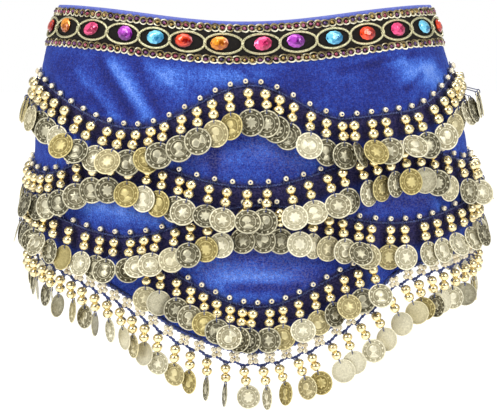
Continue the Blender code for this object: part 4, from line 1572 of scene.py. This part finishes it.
def gem_stone(number, colour, offset, rise, degrees):
    """Oval faceted stone: girdle, two rows of crown facets and a small flat table."""
    rng = random.Random(number + 40)
    turn = gem_turn(number) + trim_shift(gem_turn(number)) + offset / HALF_GIRTH
    up = slope_up(turn, GEM_DEPTH)
    side = along(turn)
    out = np.cross(side, up)
    tilt = math.radians(degrees)
    side, up = side * math.cos(tilt) + up * math.sin(tilt), up * math.cos(tilt) - side * math.sin(tilt)
    centre = spot(turn, GEM_DEPTH - rise, 0.0)
    base = RIBBON_HIGH + GEM_LIFT
    rings = [
        # size share, height, twist in facets
        (0.90, base, 0.0),
        (1.00, base + 0.0009, 0.0),
        (0.82, base + 0.0021, 0.5),
        (0.56, base + 0.0030, 0.0),
        (0.30, base + 0.0033, 0.5),
        (0.0, base + 0.0033, 0.0),
    ]
    own = np.concatenate([
        oval(GEM_FACETS, GEM_HALF_WIDTH * share, GEM_HALF_HEIGHT * share, height, twist)
        for share, height, twist in rings
    ])
    heap = Heap()
    heap.add(
        centre + own @ np.array([side, up, out]), [grid_faces(len(rings), GEM_FACETS, wrap=True)],
        gem_place=own / GEM_HALF_WIDTH + number,
    )
    for end in (-1, 1):
        mouth = centre + side * end * GEM_HALF_WIDTH * MOUTH_PLACE + out * (base + MOUTH_HEIGHT)
        heap.add(
            placed(SMALL_BEAD_POINTS, mouth, np.array([up, out, side * end]), MOUTH_RADIUS), SMALL_BEAD_FACES,
            gem_place=np.full((len(SMALL_BEAD_POINTS), 3), float(number)),
        )
    name = f"gem_{number + 1:02d}"
    piece = heap.make(f"{name}_stone", GEM_FINISHES[colour], smooth=False)
    # A stone is lit from one side, so its facets run from deep to bright round it
    # The drill-hole mouths keep the hole tone: painted shade
    facets = np.full(len(piece.data.polygons), HOLE_FACET, np.float32)
    for i in range((len(rings) - 1) * GEM_FACETS):
        angle = 2 * math.pi * (i % GEM_FACETS) / GEM_FACETS
        lit = FACET_TONE + FACET_SWING * math.sin(angle - FACET_LIGHT_ANGLE)
        facets[i] = min(max(lit + rng.uniform(-FACET_JITTER, FACET_JITTER), 0), 1)
    piece.data.attributes.new("facet", "FLOAT", "FACE").data.foreach_set("value", facets)
    finish_piece(piece, f"gem_{colour}", name)


INNER_BEAD_POINTS, INNER_BEAD_FACES = bead_form(7, 4, 0.20, (0.10, -0.98), (0.10, 0.98))
RING_STEPS = 16
RING_SIDES = 5
LACING_STEPS = 6
LACING_HALF_HEIGHT = 0.0025
LACING_TONE = 0.35
RING_WIDTHS = (0.90, 1.08)
RING_HEIGHTS = (0.88, 1.06)
RING_SLANTS = (-0.35, 0.15)
RING_JITTER = 0.0003
RING_OUT = 0.0011
RING_TILT = 0.0005
RING_SHINE = 0.62
RING_SHINE_SWING = 0.44
RING_SHINE_TURNS = (-0.4, 1.6)
RING_SHINE_JITTER = 0.15
LACING_OUT = 0.0008
LACING_RISE = 0.0004
INNER_BEAD_OUT = 0.0009
INNER_BEAD_JITTER = 0.0005
INNER_BEAD_SIZES = (0.85, 1.1)


def ring_braid(name, depth, seed):
    """Small gold rings that overlap in a row, each round a coloured bead and laced with a wavy cord."""
    rng = random.Random(seed)
    rings, stones = Heap(), Heap()
    turns = dangle_turns(-END_TURN, END_TURN, RING_PITCH)
    angles = round_angles(RING_STEPS)
    for turn in turns:
        wide = RING_HALF_WIDTH * rng.uniform(*RING_WIDTHS)
        tall = RING_HALF_HEIGHT * rng.uniform(*RING_HEIGHTS)
        slant = rng.uniform(*RING_SLANTS)
        x = wide * np.cos(angles) + slant * tall * np.sin(angles)
        y = tall * np.sin(angles)
        low = depth + rng.uniform(-RING_JITTER, RING_JITTER)
        centres = spot(turn + x / HALF_GIRTH, low - y, RING_OUT + RING_TILT * np.cos(angles))
        shine = RING_SHINE - RING_SHINE_SWING * np.sin(angles + rng.uniform(*RING_SHINE_TURNS))
        shine = shine + rng.uniform(-RING_SHINE_JITTER, RING_SHINE_JITTER)
        wire = RING_WIRE * (0.8 + 0.4 * shine)
        tube(rings, centres, wire, sides=RING_SIDES, closed=True, tone=np.repeat(shine, RING_SIDES))
        tilt = upright(turn)
        large = (-0.0004, 0.0017, rng.random() * 0.8)
        small = (rng.uniform(0.0008, 0.0020), 0.0009, rng.random())
        for shift, size, tone in (large, small):
            drop = low + rng.uniform(-INNER_BEAD_JITTER, INNER_BEAD_JITTER)
            place = spot(turn + shift / HALF_GIRTH, drop, INNER_BEAD_OUT)
            points = placed(INNER_BEAD_POINTS, place, tilt, size * rng.uniform(*INNER_BEAD_SIZES))
            stones.add(points, INNER_BEAD_FACES, tone=tone)
    line = np.linspace(-END_TURN, END_TURN, len(turns) * LACING_STEPS)
    wave = np.sin((line + END_TURN) / (2 * END_TURN) * len(turns) * np.pi)
    centres = spot(line, depth + LACING_HALF_HEIGHT * wave, LACING_OUT + LACING_RISE * np.abs(wave))
    tube(rings, centres, RING_WIRE * 0.8, sides=RING_SIDES, tone=LACING_TONE)
    finish_piece(rings.make(f"{name}_rings", RING_GOLD), "gold_braid", name)
    finish_piece(stones.make(f"{name}_stones", RING_BEAD), "gem_purple")


ribbon = band("trim_ribbon", RIBBON_TOP, RIBBON_BOTTOM, RIBBON_OUT, RIBBON_HIGH, RIBBON_COLUMNS)
finish_piece(ribbon, "jacquard", "gem_trim_ribbon")
finish_piece(oval_frames(), "gold_braid")
for gem_number in range(GEMS):
    gem_stone(gem_number, *NEAR_GEMS[(gem_number - GEMS // 4) % len(NEAR_GEMS)])
for braid_name, braid_depth in BRAID_DEPTHS.items():
    bed_top, bed_bottom = braid_depth - BED_HALF_HEIGHT, braid_depth + BED_HALF_HEIGHT
    finish_piece(band(f"{braid_name}_bed", bed_top, bed_bottom, BED_LOW, BED_HIGH, BED_COLUMNS), "jacquard")
    ring_braid(braid_name, braid_depth, round(braid_depth * 1000))


# Closure at the far side

STRIP_EDGE = 0.0014


def far_strip(name, start, end, top, bottom, offset_of, finish, columns, rows):
    """A soft flat strip inside the far side, with rounded edges."""
    distances, depths = np.linspace(start, end, columns), np.linspace(top, bottom, rows)
    distance, depth = np.meshgrid(distances, depths, indexing="ij")
    turn = np.where(distance > 0, 1 - distance / HALF_GIRTH, -1 - distance / HALF_GIRTH)
    edge = np.minimum.reduce([distance - start, end - distance, depth - top, bottom - depth])
    thick = WALL * np.sqrt(np.clip(edge / STRIP_EDGE, 0.04, 1))
    middle = offset_of(distance) + WALL / 2
    outer = spot(turn, depth, -(middle - thick / 2)).reshape(-1, 3)
    inner = spot(turn, depth, -(middle + thick / 2)).reshape(-1, 3)
    quads = grid_faces(columns, rows)
    place = flat_place(distance, depth)
    count = len(outer)
    loop = np.concatenate([
        np.arange(rows),
        np.arange(1, columns) * rows + rows - 1,
        (columns - 1) * rows + np.arange(rows - 2, -1, -1),
        np.arange(columns - 2, 0, -1) * rows,
    ])
    following = np.roll(loop, -1)
    rim = np.stack([loop, following, following + count, loop + count], -1)
    heap = Heap()
    heap.add(
        np.concatenate([outer, inner]), [quads, quads[:, ::-1] + count, rim],
        cloth_place=np.concatenate([place, place]), under_fringe=0.0, pile=0.0, rim=0.0, worn=0.2,
    )
    return heap.make(name, finish)


def tab_offset(distance):
    share = np.clip((distance - TAB_STEP_START) / (TAB_STEP_END - TAB_STEP_START), 0, 1)
    return WALL + SEAM + (WALL + SEAM) * share


def pad_offset(distance):
    return np.full_like(distance, WALL + SEAM)


tab = far_strip("velvet_tab", -TAB_LEFT, TAB_RIGHT, TAB_TOP, TAB_BOTTOM, tab_offset, VELVET, 60, 26)
finish_piece(tab, "velvet", "closure_tab")
pad = far_strip("loop_pad", PAD_NEAR_GAP, PAD_FAR, PAD_TOP, PAD_BOTTOM, pad_offset, PAD_PILE, 30, 22)
finish_piece(pad, "hook_and_loop", "hook_and_loop_pad")


# Size of the cloth laid flat

FLAT_STEPS = 400
flat_turns = np.linspace(-END_TURN, END_TURN, FLAT_STEPS)
flat_width = 2 * END_TURN * HALF_GIRTH
flat_length = float(max(hem_depth(flat_turns)))
flat_area = flat_width * float(np.mean(hem_depth(flat_turns)))


# Camera, light and stage

FLOOR_HEIGHT = -1.0
FLOOR_HALF = 30.0
LIGHT_AIM = np.array([0.0, 0.0, -0.14])
SOFTBOXES = [
    # name, place, width, height, power
    ("key_left", (-1.3, -1.5, 1.1), 0.9, 0.9, 22),
    ("key_right", (1.4, -1.4, 0.9), 0.8, 0.8, 14),
    ("top", (0.0, -0.3, 1.6), 1.2, 0.8, 9),
    ("back", (0.3, 1.7, 0.8), 1.0, 1.0, 20),
]
STUDIO_STRENGTH = 0.80
STUDIO_TONES = [
    # how far a direction faces the near side, brightness there
    (0.0, 0.45),
    (0.45, 0.60),
    (0.70, 1.0),
    (0.850, 0.90),
    (0.895, 0.12),
    (1.0, 0.08),
]


def add_camera():
    data = bpy.data.cameras.new("camera")
    data.sensor_width = SENSOR
    data.lens = FOCAL_PIXELS / PHOTO_WIDTH * SENSOR
    made = add_object("camera", data, CAMERA_PLACE, (math.pi / 2 - CAMERA_DOWN, 0, 0))
    bpy.context.scene.camera = made


def add_softbox(name, place, width, height, power):
    data = bpy.data.lights.new(name, "AREA")
    data.shape = "RECTANGLE"
    data.size = width
    data.size_y = height
    data.energy = power
    x, y, z = LIGHT_AIM - np.array(place)
    add_object(name, data, place, (math.atan2(math.hypot(x, y), -z), 0, math.atan2(x, -y) + math.pi))


def add_floor():
    mesh = bpy.data.meshes.new("floor")
    corners = [(-1, -1), (1, -1), (1, 1), (-1, 1)]
    mesh.from_pydata([(x * FLOOR_HALF, y * FLOOR_HALF, FLOOR_HEIGHT) for x, y in corners], [], [(0, 1, 2, 3)])
    white = {"Base Color": (0.9, 0.9, 0.9), "Emission Color": (1.0, 1.0, 1.0), "Emission Strength": 0.75}
    mesh.materials.append(Finish("floor_white").shaded(white))
    floor = add_object("floor", mesh)


def add_world():
    """Bright studio all round, with a dark patch straight ahead of the near side."""
    world = bpy.data.worlds.new("studio")
    bpy.context.scene.world = world
    world.use_nodes = True
    net = Net(world.node_tree)
    inputs = {0: net.place("Generated"), 1: (0.0, -1.0, 0.0)}
    dot = net.node("ShaderNodeVectorMath", inputs, operation="DOT_PRODUCT").outputs["Value"]
    facing = net.math("ADD", net.math("MULTIPLY", dot, 0.5), 0.5)
    studio = world.node_tree.nodes["Background"]
    net.set(studio, {"Color": net.ramp(facing, STUDIO_TONES), "Strength": STUDIO_STRENGTH})
    white = net.node("ShaderNodeBackground", {"Color": (1.0, 1.0, 1.0), "Strength": 1.0})
    seen = net.node("ShaderNodeLightPath", {}).outputs["Is Camera Ray"]
    both = {"Fac": seen, 1: studio.outputs["Background"], 2: white.outputs["Background"]}
    mixed = net.node("ShaderNodeMixShader", both).outputs["Shader"]
    net.set(world.node_tree.nodes["World Output"], {"Surface": mixed})


add_camera()
add_world()
add_floor()
for softbox in SOFTBOXES:
    add_softbox(*softbox)
bpy.context.scene.view_settings.view_transform = "Standard"
